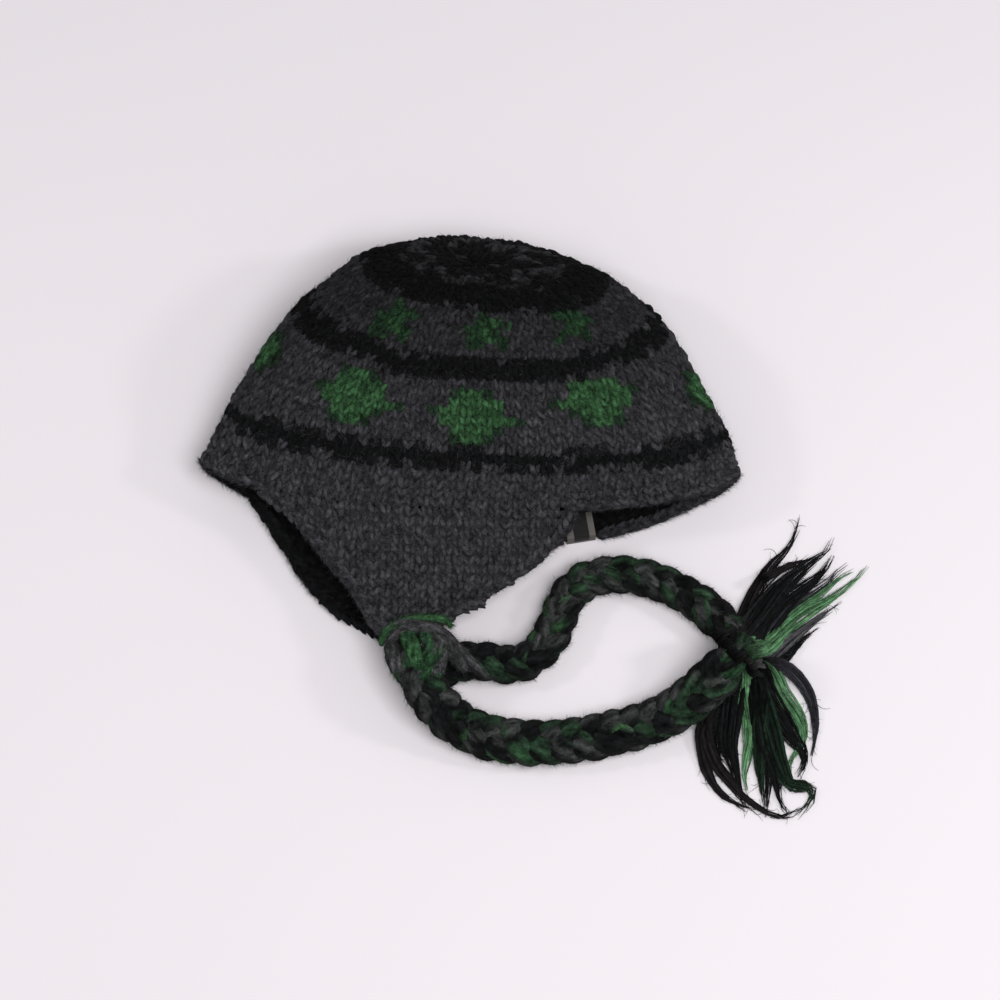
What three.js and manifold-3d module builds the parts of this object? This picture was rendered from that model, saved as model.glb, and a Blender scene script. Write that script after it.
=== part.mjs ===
// A bulky knitted hat with ear flaps and braided ties, lying on its side on a table.
// Millimetres, +Z up. The mouth opens towards -Y, the crown points to +Y, and the origin lies
// on the table under the middle of the hat, ties and tassels not counted.
import * as THREE from "three";
import { mergeVertices } from "three/addons/utils/BufferGeometryUtils.js";
import Module from "manifold-3d";

// Driving dimensions of the hat
const HAT_WIDTH = 278; // across the mouth, folded flat
const CROWN_REACH = 130; // from the corners of the mouth to the far end of the crown
const CROWN_LOFT = 87; // height of the upper wall over the table, at its fullest
const KNIT_THICKNESS = 7; // bulky yarn, one layer
const SEAM_GAP = 0.3; // between pieces that meet

// Driving dimensions of the ear flaps
const FLAP_LENGTH = 60; // from the rim to the tip
const FLAP_TIP_WIDTH = 36;
const NEAR_TIP_HEIGHT = 29; // the upper flap lies on the lower one and its tie
const FAR_TIP_SET = 8; // how far the lower flap's tip lies to the left of the upper one's
const FAR_TIP_BACK = 9.5; // how much shorter it is, as its rim lies further forward

// Driving dimensions of the label, ties and tassels
const LABEL_WIDTH = 15;
const LABEL_DEPTH = 12;
const LABEL_THICKNESS = 0.9;
const NEAR_TIE_WIDTH = 24;
const FAR_TIE_WIDTH = 20; // pulled out thinner
const TIE_THICKNESS = 17;
const TIE_ROOT_LENGTH = 8;
const TASSEL_LENGTH = 80;
const LOCK_WIDTH = 11;

// Rows of numbers under one header, as a list of objects
function table(columns, rows) {
  return rows.map((row) => Object.fromEntries(columns.map((column, i) => [column, row[i]])));
}

// How finely the surfaces are divided
const AROUND = 60;
const RINGS = 18;
const LAST_RING = 0.955; // share of the way from the rim to the crown's gather
const FLAP_ROWS = 9;
const FLAP_COLUMNS = 15;

// The crown's sections, from the rim to the gather. up is the share of the knitted rows.
// half, set and lean are the section's half width, its shift to the right and its tilt in
// plan: half and set in shares of half the hat's width. topSweep and baseSweep say how late the
// upper and the lower wall run forward or back from the side folds, 1 being a plain oval's way.
// The Y columns are shares of CROWN_REACH and the Z columns of CROWN_LOFT, for the upper wall,
// the side fold and the lower wall. A lower wall below 0 is pressed flat on the table.
const CROWN_SECTIONS = table(
  [
    ["up", "half", "set", "lean", "topSweep", "baseSweep"],
    ["topY", "topZ", "sideY", "sideZ", "baseY", "baseZ"],
  ].flat(),
  [
    [0, 1, 0, 0.026, 1.6, 3, -0.21, 0.41, 0, 0.28, -0.27, -0.02],
    [0.14, 0.94, 0.025, 0.05, 1.4, 1.8, -0.06, 0.56, 0.17, 0.33, -0.05, -0.03],
    [0.29, 0.83, 0.025, 0.05, 1.2, 1.2, 0.09, 0.77, 0.385, 0.39, 0.17, -0.03],
    [0.43, 0.705, 0.035, 0.052, 1.1, 1.1, 0.235, 0.92, 0.595, 0.44, 0.42, -0.03],
    [0.56, 0.57, 0.045, 0.07, 1, 1, 0.36, 1, 0.73, 0.48, 0.69, -0.01],
    [0.7, 0.42, 0.055, 0.1, 1, 1, 0.525, 0.985, 0.83, 0.53, 0.985, 0.14],
    [0.86, 0.23, 0.035, 0.08, 1, 1, 0.645, 0.88, 0.795, 0.66, 0.93, 0.47],
    [1, 0, 0.01, 0, 1, 1, 0.75, 0.73, 0.75, 0.73, 0.75, 0.73],
  ],
);
const DISC_FROM = 0.86; // past this row the crown is a disc, whose wall has one direction
const SIDE_FULLNESS = 0.8; // below 1 the side folds are blunter than an ellipse's
const BASE_PRESS = 1.6; // over 1 the lower wall turns down to the table close to its side folds

// The flaps' rows, from the rim to the tip. down is a share of FLAP_LENGTH, and left, right
// and sag are how far the edges stand out sideways and the flap hangs, in the same shares.
const NEAR_FLAP_ROWS = table(
  ["down", "left", "right", "sag"],
  [
    [0, 0, 0, 0],
    [0.15, -0.13, 0.09, 0.05],
    [0.4, -0.1, 0.16, 0.09],
    [0.7, -0.06, 0.15, 0.07],
    [0.88, 0, 0.07, 0.03],
    [1, 0, 0, 0],
  ],
);
const FAR_FLAP_ROWS = table(
  ["down", "left", "right", "sag"],
  [
    [0, 0, 0, 0],
    [0.15, 0.035, -0.065, 0],
    [0.4, 0.11, -0.06, 0],
    [0.7, 0.19, -0.04, 0],
    [0.88, 0.15, -0.03, 0],
    [1, 0, 0, 0],
  ],
);
const TIP_ROUND = 0.12; // how far the tip bulges past its corners, a share of FLAP_LENGTH
const NEAR_TIP_SKEW = 0.2; // how far its right corner lies behind its middle, a share of its width

// Where the flaps and the label are knitted or sewn on: angles round the rim, from the right
// side fold over the upper wall, in degrees.
const NEAR_FLAP_FROM = 71;
const NEAR_FLAP_TO = 140;
const FAR_FLAP_FROM = 284;
const FAR_FLAP_TO = 219;
const LABEL_AT = 289.4;
const LABEL_SPREAD = 4; // from the label's middle to its end

// The tips' middles, sideways, in shares of HAT_WIDTH
const NEAR_TIP_SIDE = -0.095;

// The ties' routes, chosen by hand from where each leaves its root: across, along -Y, height.
const NEAR_TIE_ROUTE = [
  [0, 0, 27.6],
  [0, 4, 27.6],
  [0.5, 9, 27.6],
  [3, 17, 27.4],
  [9, 24, 22],
  [17, 31, 15],
  [27, 36, 10.5],
  [38, 39.5, 9.2],
  [51, 41.5, 9],
  [69, 41.8, 9],
  [82, 40.5, 9],
  [94, 38, 9],
  [105, 35.5, 9],
  [116, 32, 9.6],
  [128, 27.5, 12],
  [139, 21.5, 17.5],
  [150, 13.5, 25],
  [158, 4.5, 28],
  [166.5, -6.5, 28.2],
];
const FAR_TIE_ROUTE = [
  [0, 0, 9],
  [0, 4, 9],
  [1.2, 8.8, 9],
  [6, 12.5, 9],
  [14, 12, 9],
  [25, 7.5, 9],
  [37, 4.5, 9],
  [50, 6.5, 9],
  [61, 6, 9],
  [70, 0, 9],
  [76, -8, 9],
  [80, -18, 9],
  [84, -28.5, 9],
  [93, -38, 9],
  [108, -42, 9],
  [125, -40, 9],
  [141.5, -33, 9],
  [156.5, -23, 9],
  [167.5, -11, 9],
  [177, 0, 9],
];
const TIE_STEPS = 30;
const TIE_SIDES = 10;

// The oval bar of yarn at a tie's root, and the head of a tassel, in shares of the tip's width,
// the tie's width and TIE_THICKNESS
const ROOT_HALF_WIDTH = 0.42;
const ROOT_HALF_THICKNESS = 0.5;
const ROOT_ROUND = 0.55; // how much slimmer the bar's ends are, as a share of its squared radius
const ROOT_SIDES = 12;
const ROOT_STEPS = 6;
const HEAD_HALF_LENGTH = 0.42;
const HEAD_HALF_WIDTH = 0.44;
const HEAD_HALF_THICKNESS = 0.46;

// The tassels' locks: heading is the way each one points in plan, in degrees from +X, and
// bend its turn on the way. reach and width are shares of TASSEL_LENGTH and LOCK_WIDTH.
const NEAR_LOCKS = table(
  ["heading", "bend", "reach", "width"],
  [
    [82, -34, 0.9, 0.75],
    [63, -6, 0.78, 0.8],
    [55, -6, 0.84, 1],
    [46, -4, 0.84, 1.1],
    [37, -4, 0.9, 1.15],
    [28, -2, 0.74, 1],
    [18, 4, 0.58, 0.8],
  ],
);
const FAR_LOCKS = table(
  ["heading", "bend", "reach", "width"],
  [
    [-32, -52, 0.72, 0.6],
    [-58, -14, 0.72, 1],
    [-70, -8, 0.76, 1],
    [-82, -2, 0.88, 1],
    [-94, 6, 0.86, 1.1],
    [-106, 12, 0.86, 1],
    [-122, 34, 0.8, 0.7],
  ],
);
const LOCK_SIDES = 7;
const LOCK_STEPS = 7;
const LOCK_CLEARANCE = 0.2; // over the table
const LOCK_FLATNESS = 0.7; // its height over its width
const LOCK_FALL = 0.55; // the share of its length on which it comes down to the table
const LOCK_ROOT = 0.75; // its half width at the head, and how it swells and tapers from there
const LOCK_SWELL = 1.1;
const LOCK_TAPER = 1.72;

const wasm = await Module();
wasm.setup();

const degrees = THREE.MathUtils.degToRad;
const halfWidth = HAT_WIDTH / 2;

// A smooth value from a table: the named column at a share of the key column.
function along(rows, key, share, column) {
  let i = rows.findIndex((row) => row[key] >= share);
  i = Math.max(1, i < 0 ? rows.length - 1 : i);
  const [a, b] = [rows[i - 1], rows[i]];
  const before = rows[Math.max(0, i - 2)];
  const after = rows[Math.min(rows.length - 1, i + 1)];
  const span = b[key] - a[key];
  const t = (share - a[key]) / span;
  const slope = (p, q) => ((q[column] - p[column]) / (q[key] - p[key] || 1)) * span;
  const [m0, m1] = [slope(before, b), slope(a, after)];
  const [t2, t3] = [t * t, t * t * t];
  return (
    (2 * t3 - 3 * t2 + 1) * a[column] +
    (t3 - 2 * t2 + t) * m0 +
    (3 * t2 - 2 * t3) * b[column] +
    (t3 - t2) * m1
  );
}

// The three guiding points of a crown section, on the outer face.
function sectionAt(up) {
  const value = (column) => along(CROWN_SECTIONS, "up", up, column);
  return {
    half: value("half") * halfWidth,
    set: value("set") * halfWidth,
    lean: value("lean"),
    topSweep: value("topSweep"),
    baseSweep: value("baseSweep"),
    top: new THREE.Vector2(value("topY") * CROWN_REACH, value("topZ") * CROWN_LOFT),
    side: new THREE.Vector2(value("sideY") * CROWN_REACH, value("sideZ") * CROWN_LOFT),
    base: new THREE.Vector2(value("baseY") * CROWN_REACH, value("baseZ") * CROWN_LOFT),
  };
}

// The same section on the inner face: each guiding point moves inwards by the wall.
function innerSectionAt(up) {
  const step = 0.02;
  const section = sectionAt(up);
  const level = Math.min(up, DISC_FROM);
  const before = sectionAt(Math.max(0, level - step));
  const after = sectionAt(level + step);
  const inward = (name, sign) => {
    const run = after[name].clone().sub(before[name]).normalize();
    return new THREE.Vector2(run.y * sign, -run.x * sign).multiplyScalar(KNIT_THICKNESS);
  };
  const rise = new THREE.Vector3(
    after.half - before.half,
    after.side.x - before.side.x,
    after.side.y - before.side.y,
  );
  const across = before.top.clone().sub(before.base);
  const outward = rise.cross(new THREE.Vector3(0, across.x, across.y)).normalize();
  if (outward.x < 0) outward.negate();
  section.top.add(inward("top", 1));
  section.base.y = Math.max(0, section.base.y);
  section.base.add(inward("base", -1));
  section.half -= outward.x * KNIT_THICKNESS;
  section.side.x -= outward.y * KNIT_THICKNESS;
  section.side.y -= outward.z * KNIT_THICKNESS;
  return section;
}

// A point of a section's loop. turn runs from the right side fold over the upper wall.
function loopPoint(section, turn, floor) {
  const [c, s] = [Math.cos(turn), Math.sin(turn)];
  const x = section.set + section.half * Math.sign(c) * Math.abs(c) ** SIDE_FULLNESS;
  const rise = Math.abs(s) ** SIDE_FULLNESS;
  const press = 1 - (1 - rise) ** BASE_PRESS;
  const guide = s >= 0 ? section.top : section.base;
  const share = s >= 0 ? rise : press;
  const sweep = s >= 0 ? section.topSweep : section.baseSweep;
  return new THREE.Vector3(
    x,
    section.side.x + (guide.x - section.side.x) * rise ** sweep - section.lean * x,
    Math.max(floor, section.side.y + (guide.y - section.side.y) * share),
  );
}

const outerPoint = (up, turn) => loopPoint(sectionAt(up), turn, 0);
const innerPoint = (up, turn) => loopPoint(innerSectionAt(up), turn, KNIT_THICKNESS);

// A closed body from rows of points: two skins, joined round their edges.
function bodyOf(points, triangles) {
  const geometry = new THREE.BufferGeometry();
  geometry.setAttribute(
    "position",
    new THREE.Float32BufferAttribute(points.flatMap((p) => [p.x, p.y, p.z]), 3),
  );
  geometry.setIndex(triangles.flat());
  geometry.computeVertexNormals();
  return geometry;
}

function quad(a, b, c, d) {
  return [
    [a, b, c],
    [a, c, d],
  ];
}

function crown() {
  const points = [];
  const triangles = [];
  const skins = [outerPoint, innerPoint].map((skin) => {
    const start = points.length;
    for (let i = 0; i <= RINGS; i++) {
      const up = (LAST_RING * i) / RINGS;
      for (let j = 0; j < AROUND; j++) points.push(skin(up, (2 * Math.PI * j) / AROUND));
    }
    const last = points.slice(-AROUND);
    const pole = last.reduce((sum, p) => sum.add(p), new THREE.Vector3());
    points.push(pole.divideScalar(AROUND));
    return start;
  });
  const at = (start, i, j) => start + i * AROUND + (j % AROUND);
  const poleOf = (start) => start + (RINGS + 1) * AROUND;
  const [outer, inner] = skins;
  for (let j = 0; j < AROUND; j++) {
    for (let i = 0; i < RINGS; i++) {
      triangles.push(
        ...quad(at(outer, i, j), at(outer, i + 1, j), at(outer, i + 1, j + 1), at(outer, i, j + 1)),
        ...quad(at(inner, i, j), at(inner, i, j + 1), at(inner, i + 1, j + 1), at(inner, i + 1, j)),
      );
    }
    triangles.push(
      [at(outer, RINGS, j), poleOf(outer), at(outer, RINGS, j + 1)],
      [at(inner, RINGS, j), at(inner, RINGS, j + 1), poleOf(inner)],
      ...quad(at(outer, 0, j), at(outer, 0, j + 1), at(inner, 0, j + 1), at(inner, 0, j)),
    );
  }
  return bodyOf(points, triangles);
}

// The middle of a flap's tip, on its outer face.
function tipOf(flap) {
  const rimMiddle = outerPoint(0, degrees(flap.from + flap.to) / 2);
  return new THREE.Vector3(flap.side, rimMiddle.y - flap.length, flap.tipHeight);
}

// How far the round of the tip reaches past its middle point.
function tipReach(flap) {
  const bulge = TIP_ROUND * FLAP_LENGTH;
  const slant = flap.skew * FLAP_TIP_WIDTH;
  return bulge + slant ** 2 / (4 * bulge);
}

// A point of a flap: down runs from the rim to the tip, across from the left edge to the right.
function flapPoint(flap, down, across, skin) {
  const turn = degrees(flap.to + (flap.from - flap.to) * across);
  const rim = skin(0, turn);
  const seam = outerPoint(0, turn).sub(outerPoint(0.02, turn)).setLength(SEAM_GAP);
  rim.add(seam);
  const tip = tipOf(flap);
  const swing = 2 * across - 1;
  tip.x += (swing * FLAP_TIP_WIDTH) / 2;
  tip.y -= TIP_ROUND * FLAP_LENGTH * (1 - swing * swing) - flap.skew * swing * FLAP_TIP_WIDTH;
  if (skin === innerPoint) tip.z += flap.upper ? -KNIT_THICKNESS : KNIT_THICKNESS;
  const value = (column) => along(flap.rows, "down", down, column) * FLAP_LENGTH;
  const point = rim.lerp(tip, down);
  point.x += value("right") * across - value("left") * (1 - across);
  point.z -= value("sag");
  return point;
}

function earFlap(flap) {
  const points = [];
  const triangles = [];
  const columns = FLAP_COLUMNS + 1;
  const skins = [outerPoint, innerPoint].map((skin) => {
    const start = points.length;
    for (let i = 0; i <= FLAP_ROWS; i++) {
      for (let j = 0; j < columns; j++) {
        points.push(flapPoint(flap, i / FLAP_ROWS, j / FLAP_COLUMNS, skin));
      }
    }
    return start;
  });
  const [outer, inner] = flap.upper ? skins : [skins[1], skins[0]];
  const at = (start, i, j) => start + i * columns + j;
  for (let i = 0; i < FLAP_ROWS; i++) {
    for (let j = 0; j < FLAP_COLUMNS; j++) {
      triangles.push(
        ...quad(at(outer, i, j), at(outer, i + 1, j), at(outer, i + 1, j + 1), at(outer, i, j + 1)),
        ...quad(at(inner, i, j), at(inner, i, j + 1), at(inner, i + 1, j + 1), at(inner, i + 1, j)),
      );
    }
  }
  const edge = (i, j, k, l) => quad(at(outer, i, j), at(inner, i, j), at(inner, k, l), at(outer, k, l));
  for (let j = 0; j < FLAP_COLUMNS; j++) {
    triangles.push(...edge(0, j + 1, 0, j));
    triangles.push(...edge(FLAP_ROWS, j, FLAP_ROWS, j + 1));
  }
  for (let i = 0; i < FLAP_ROWS; i++) {
    triangles.push(...edge(i, 0, i + 1, 0));
    triangles.push(...edge(i + 1, FLAP_COLUMNS, i, FLAP_COLUMNS));
  }
  return bodyOf(points, triangles);
}

// The folded label, sewn over the lower wall's rim: an angle of cloth seen from its end.
function label(turn) {
  const gap = 2 * SEAM_GAP;
  const wallTop = [0, 0.03, 0.06].map((up) => innerPoint(up, turn - degrees(LABEL_SPREAD)).z);
  const lip = Math.max(...wallTop) + gap;
  const profile = new THREE.Shape();
  profile.moveTo(-gap, gap);
  profile.lineTo(-gap - LABEL_THICKNESS, gap);
  profile.lineTo(-gap - LABEL_THICKNESS, lip + LABEL_THICKNESS);
  profile.lineTo(LABEL_DEPTH, lip + LABEL_THICKNESS);
  profile.lineTo(LABEL_DEPTH, lip);
  profile.lineTo(-gap, lip);
  profile.closePath();
  const geometry = new THREE.ExtrudeGeometry(profile, { depth: LABEL_WIDTH, bevelEnabled: false });
  geometry.translate(0, 0, -LABEL_WIDTH / 2);
  geometry.rotateX(Math.PI / 2);
  geometry.rotateZ(Math.PI / 2);
  return geometry;
}

// The angle in plan of the lower rim where the label sits.
function rimHeading(turn) {
  const step = degrees(3);
  const run = outerPoint(0, turn + step).sub(outerPoint(0, turn - step));
  return Math.atan2(run.y, run.x);
}

const smoothThrough = (points) => new THREE.CatmullRomCurve3(points, false, "centripetal");

// An oval section for a sweep: x stands upright and y lies across.
function ovalSection(thickness, width, sides) {
  const corners = [];
  for (let i = 0; i < sides; i++) {
    const turn = (2 * Math.PI * (i + 0.5)) / sides;
    corners.push(
      new THREE.Vector2((Math.cos(turn) * thickness) / 2, (Math.sin(turn) * width) / 2),
    );
  }
  return new THREE.Shape(corners);
}

function tieCurve(start, route) {
  return smoothThrough(
    route.map(([across, forward, height]) => {
      return new THREE.Vector3(start.x + across, start.y - forward, height);
    }),
  );
}

function tie(curve, width) {
  return new THREE.ExtrudeGeometry(ovalSection(TIE_THICKNESS, width, TIE_SIDES), {
    steps: TIE_STEPS,
    extrudePath: curve,
    bevelEnabled: false,
  });
}

// The yarn that is drawn through a flap's tip and starts the braid: a short rounded bar.
function tieRoot() {
  const [sides, steps] = [ROOT_SIDES, ROOT_STEPS];
  const points = [];
  const triangles = [];
  const fullness = (share) => Math.sqrt(1 - ROOT_ROUND * (2 * share - 1) ** 2);
  for (let i = 0; i <= steps; i++) {
    const share = i / steps;
    for (let j = 0; j < sides; j++) {
      const turn = (2 * Math.PI * j) / sides;
      points.push(
        new THREE.Vector3(
          Math.cos(turn) * FLAP_TIP_WIDTH * ROOT_HALF_WIDTH * fullness(share),
          -share * TIE_ROOT_LENGTH,
          Math.sin(turn) * TIE_THICKNESS * ROOT_HALF_THICKNESS * fullness(share),
        ),
      );
    }
  }
  const at = (i, j) => i * sides + (j % sides);
  for (let i = 0; i < steps; i++) {
    for (let j = 0; j < sides; j++) {
      triangles.push(...quad(at(i, j), at(i, j + 1), at(i + 1, j + 1), at(i + 1, j)));
    }
  }
  for (let j = 1; j < sides - 1; j++) {
    triangles.push([at(0, 0), at(0, j + 1), at(0, j)]);
    triangles.push([at(steps, 0), at(steps, j), at(steps, j + 1)]);
  }
  return bodyOf(points, triangles);
}

// A geometry as a solid that can be joined, and back.
function solidOf(geometry) {
  const bare = geometry.clone();
  bare.deleteAttribute("normal");
  bare.deleteAttribute("uv");
  const merged = mergeVertices(bare, 1e-4);
  return new wasm.Manifold(
    new wasm.Mesh({
      numProp: 3,
      vertProperties: new Float32Array(merged.attributes.position.array),
      triVerts: new Uint32Array(merged.index.array),
    }),
  );
}

function geometryOf(solid) {
  const mesh = solid.getMesh();
  const geometry = new THREE.BufferGeometry();
  geometry.setAttribute("position", new THREE.BufferAttribute(mesh.vertProperties, 3));
  geometry.setIndex(new THREE.BufferAttribute(mesh.triVerts, 1));
  geometry.computeVertexNormals();
  return geometry;
}

// One lock of a tassel: a tapering strand that falls from the head to the table.
function tasselLock(head, lock) {
  const length = lock.reach * TASSEL_LENGTH;
  const radius = (lock.width * LOCK_WIDTH) / 2;
  const points = [];
  const triangles = [];
  const centre = head.clone();
  for (let i = 0; i <= LOCK_STEPS; i++) {
    const share = i / LOCK_STEPS;
    const heading = degrees(lock.heading + lock.bend * share);
    const swell = radius * (LOCK_ROOT + LOCK_SWELL * share - LOCK_TAPER * share ** 2);
    const lowest = swell * LOCK_FLATNESS + LOCK_CLEARANCE;
    const fall = Math.min(1, share / LOCK_FALL);
    const height = head.z + (lowest - head.z) * fall * fall * (3 - 2 * fall);
    if (i > 0) {
      centre.x += (Math.cos(heading) * length) / LOCK_STEPS;
      centre.y += (Math.sin(heading) * length) / LOCK_STEPS;
    }
    for (let j = 0; j < LOCK_SIDES; j++) {
      const turn = (2 * Math.PI * j) / LOCK_SIDES;
      points.push(
        new THREE.Vector3(
          centre.x - Math.sin(heading) * Math.cos(turn) * swell,
          centre.y + Math.cos(heading) * Math.cos(turn) * swell,
          Math.max(lowest, height) + Math.sin(turn) * swell * LOCK_FLATNESS,
        ),
      );
    }
  }
  const at = (i, j) => i * LOCK_SIDES + (j % LOCK_SIDES);
  for (let i = 0; i < LOCK_STEPS; i++) {
    for (let j = 0; j < LOCK_SIDES; j++) {
      triangles.push(...quad(at(i, j), at(i, j + 1), at(i + 1, j + 1), at(i + 1, j)));
    }
  }
  for (let j = 1; j < LOCK_SIDES - 1; j++) {
    triangles.push([at(0, 0), at(0, j + 1), at(0, j)]);
    triangles.push([at(LOCK_STEPS, 0), at(LOCK_STEPS, j), at(LOCK_STEPS, j + 1)]);
  }
  return bodyOf(points, triangles);
}

// A tassel: its locks and the head that gathers them, past the end of its tie.
function tassel(curve, width, locks) {
  const end = curve.getPoint(1);
  const heading = curve.getTangent(1);
  const long = width * HEAD_HALF_LENGTH;
  const head = end.clone().addScaledVector(heading, long + SEAM_GAP);
  const ball = new THREE.SphereGeometry(1, 12, 8);
  ball.scale(long, width * HEAD_HALF_WIDTH, TIE_THICKNESS * HEAD_HALF_THICKNESS);
  ball.rotateZ(Math.atan2(heading.y, heading.x));
  ball.translate(head.x, head.y, head.z);
  let whole = solidOf(ball);
  for (const lock of locks) whole = whole.add(solidOf(tasselLock(head, lock)));
  return geometryOf(whole);
}

function knitted(color) {
  return new THREE.MeshStandardMaterial({ color, roughness: 0.95, metalness: 0 });
}

const charcoalWool = knitted("#2f2e33");
const blackWool = knitted("#161718");
const greenWool = knitted("#2e3d2f");
const labelCloth = new THREE.MeshStandardMaterial({ color: "#5a5a5c", roughness: 0.6, metalness: 0 });

const hat = new THREE.Group();

function piece(name, geometry, material) {
  const mesh = new THREE.Mesh(geometry, material);
  mesh.name = name;
  hat.add(mesh);
  return mesh;
}

const nearFlap = {
  from: NEAR_FLAP_FROM,
  to: NEAR_FLAP_TO,
  side: NEAR_TIP_SIDE * HAT_WIDTH,
  length: FLAP_LENGTH,
  tipHeight: NEAR_TIP_HEIGHT,
  skew: NEAR_TIP_SKEW,
  rows: NEAR_FLAP_ROWS,
  upper: true,
};
const farFlap = {
  from: FAR_FLAP_FROM,
  to: FAR_FLAP_TO,
  side: NEAR_TIP_SIDE * HAT_WIDTH - FAR_TIP_SET,
  length: FLAP_LENGTH - FAR_TIP_BACK,
  tipHeight: 0,
  skew: 0,
  rows: FAR_FLAP_ROWS,
  upper: false,
};

piece("crown", crown(), charcoalWool);
piece("ear_flap_near", earFlap(nearFlap), charcoalWool);
piece("ear_flap_far", earFlap(farFlap), charcoalWool);

const labelTurn = degrees(LABEL_AT);
const labelMesh = piece("label", label(labelTurn), labelCloth);
labelMesh.position.copy(outerPoint(0, labelTurn));
labelMesh.rotation.z = rimHeading(labelTurn);

const hatBox = new THREE.Box3().setFromObject(hat);

// Each tie hangs on a root that is drawn through its flap's tip.
for (const [name, flap, route, width, locks] of [
  ["near", nearFlap, NEAR_TIE_ROUTE, NEAR_TIE_WIDTH, NEAR_LOCKS],
  ["far", farFlap, FAR_TIE_ROUTE, FAR_TIE_WIDTH, FAR_LOCKS],
]) {
  const tip = tipOf(flap);
  tip.y -= tipReach(flap) + SEAM_GAP;
  const root = piece("tie_root_" + name, tieRoot(), greenWool);
  root.position.set(tip.x, tip.y, route[0][2]);
  const start = new THREE.Vector3(tip.x, tip.y - TIE_ROOT_LENGTH - SEAM_GAP, 0);
  const curve = tieCurve(start, route);
  piece("tie_" + name, tie(curve, width), greenWool);
  piece("tassel_" + name, tassel(curve, width, locks), blackWool);
}

// The hat's own box, without its ties, is centred over the origin.
const middle = hatBox.getCenter(new THREE.Vector3());
hat.position.set(-middle.x, -middle.y, -hatBox.min.z);

export default hat;
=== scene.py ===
"""A bulky knitted hat with ear flaps and braided ties, lying on its side on a pale floor.

Metres, +Z up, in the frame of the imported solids. The mouth opens towards -Y, the crown points
to +Y, and the origin lies on the floor under the middle of the hat.
"""
import math

import bpy
import numpy as np
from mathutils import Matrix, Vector
from mathutils.bvhtree import BVHTree


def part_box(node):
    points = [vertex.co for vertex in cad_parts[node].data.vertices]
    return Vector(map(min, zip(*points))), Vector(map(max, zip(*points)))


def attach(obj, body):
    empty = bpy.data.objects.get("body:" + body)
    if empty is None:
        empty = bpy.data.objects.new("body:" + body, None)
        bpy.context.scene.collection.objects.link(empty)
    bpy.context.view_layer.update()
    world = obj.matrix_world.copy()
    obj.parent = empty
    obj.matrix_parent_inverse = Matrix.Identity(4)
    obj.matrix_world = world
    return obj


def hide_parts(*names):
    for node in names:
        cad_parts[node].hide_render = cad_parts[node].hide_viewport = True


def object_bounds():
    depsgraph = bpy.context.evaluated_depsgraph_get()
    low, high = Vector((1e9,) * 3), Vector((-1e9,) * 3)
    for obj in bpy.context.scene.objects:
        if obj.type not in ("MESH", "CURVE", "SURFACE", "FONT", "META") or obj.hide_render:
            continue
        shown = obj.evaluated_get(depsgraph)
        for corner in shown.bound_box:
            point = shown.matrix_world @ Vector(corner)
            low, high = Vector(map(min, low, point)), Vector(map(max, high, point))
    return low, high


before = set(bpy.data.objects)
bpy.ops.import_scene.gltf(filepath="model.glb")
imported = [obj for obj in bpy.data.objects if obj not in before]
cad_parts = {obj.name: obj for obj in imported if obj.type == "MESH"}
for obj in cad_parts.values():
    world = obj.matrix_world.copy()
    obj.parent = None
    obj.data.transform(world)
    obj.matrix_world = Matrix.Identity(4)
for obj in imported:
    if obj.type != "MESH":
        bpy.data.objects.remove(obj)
cad_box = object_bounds()

# Driving dimensions, the same as the solids'
HAT_WIDTH = 0.278
CROWN_REACH = 0.130
CROWN_LOFT = 0.087
KNIT_THICKNESS = 0.007
FLAP_LENGTH = 0.060
FLAP_TIP_WIDTH = 0.036
NEAR_TIP_HEIGHT = 0.029
FAR_TIP_SET = 0.008
FAR_TIP_BACK = 0.0095
TIE_ROOT_LENGTH = 0.008
TIE_THICKNESS = 0.017
NEAR_TIE_WIDTH = 0.024
FAR_TIE_WIDTH = 0.020
SEAM_GAP = 0.0003
LABEL_WIDTH = 0.015
LABEL_DEPTH = 0.012  # of the tape over the wall's inner side
LABEL_FRONT = 0.0012  # how far the tape stands off the rim
LABEL_BEND = 0.0012
LABEL_TAPE = 0.0004

# How the yarn is knitted
ROWS = 35  # from the rim to the gather
RIM_STITCHES = 99
REPEATS = 9  # of the pattern, round the hat
DECREASE_FROM = 0.42  # the share of the rows past which the rows lose stitches
GAUGE = 0.0058  # across one stitch, where the rows lose stitches
FLAP_ROW = 0.0046
YARN = 0.0034  # thickness of the knitting yarn
STITCH_SINK = 0.0016  # how far a stitch's axis lies under the solid's face
STITCH_WANDER = 0.00028  # off its place
STITCH_PITCH = 0.0047  # along an edge
LEG_BOW = 0.0014
YARN_LUMPS = 0.00022
WALL_SINK = 0.0020  # of the shell that fills the gaps between stitches
GROOVE_PAINTED_SHADE = 0.6  # painted shade: how much darker the gaps between the stitches are painted than the yarn
LINING_ROWS = 9  # that show in the mouth
PURL_DEPTH = KNIT_THICKNESS - YARN * 0.35  # from the outer face to the purl side's bumps
PURL_HEIGHT = 0.0045
WOOL_RELIEF = 0.0008
TAPE_RELIEF = 0.0001
HAIR_WIDTH = 0.00017
TUFT_WIDTH = 0.00026

# How the ties are made
PLAIT_PERIOD = 0.032  # along the tie, from a strand's crossing to its next
PLAIT_LIFT = 0.0030
ROVING_SIDES = 28
TUFTS_PER_MM = 25  # of strand
HAIRS_PER_MM = 1
LOCK_RINGS = 15
LOCK_TUFTS = 14  # on each strand of a lock
LOCK_FALL = 0.5  # the share of its length on which a lock comes down to the floor
STRAND_RADIUS = 0.00095
WISP_RADIUS = 0.00018
WISPS_PER_LOCK = 12
LOOSE_REACH = 0.014  # the furthest that a wisp may lie in front of the solids' box

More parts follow.
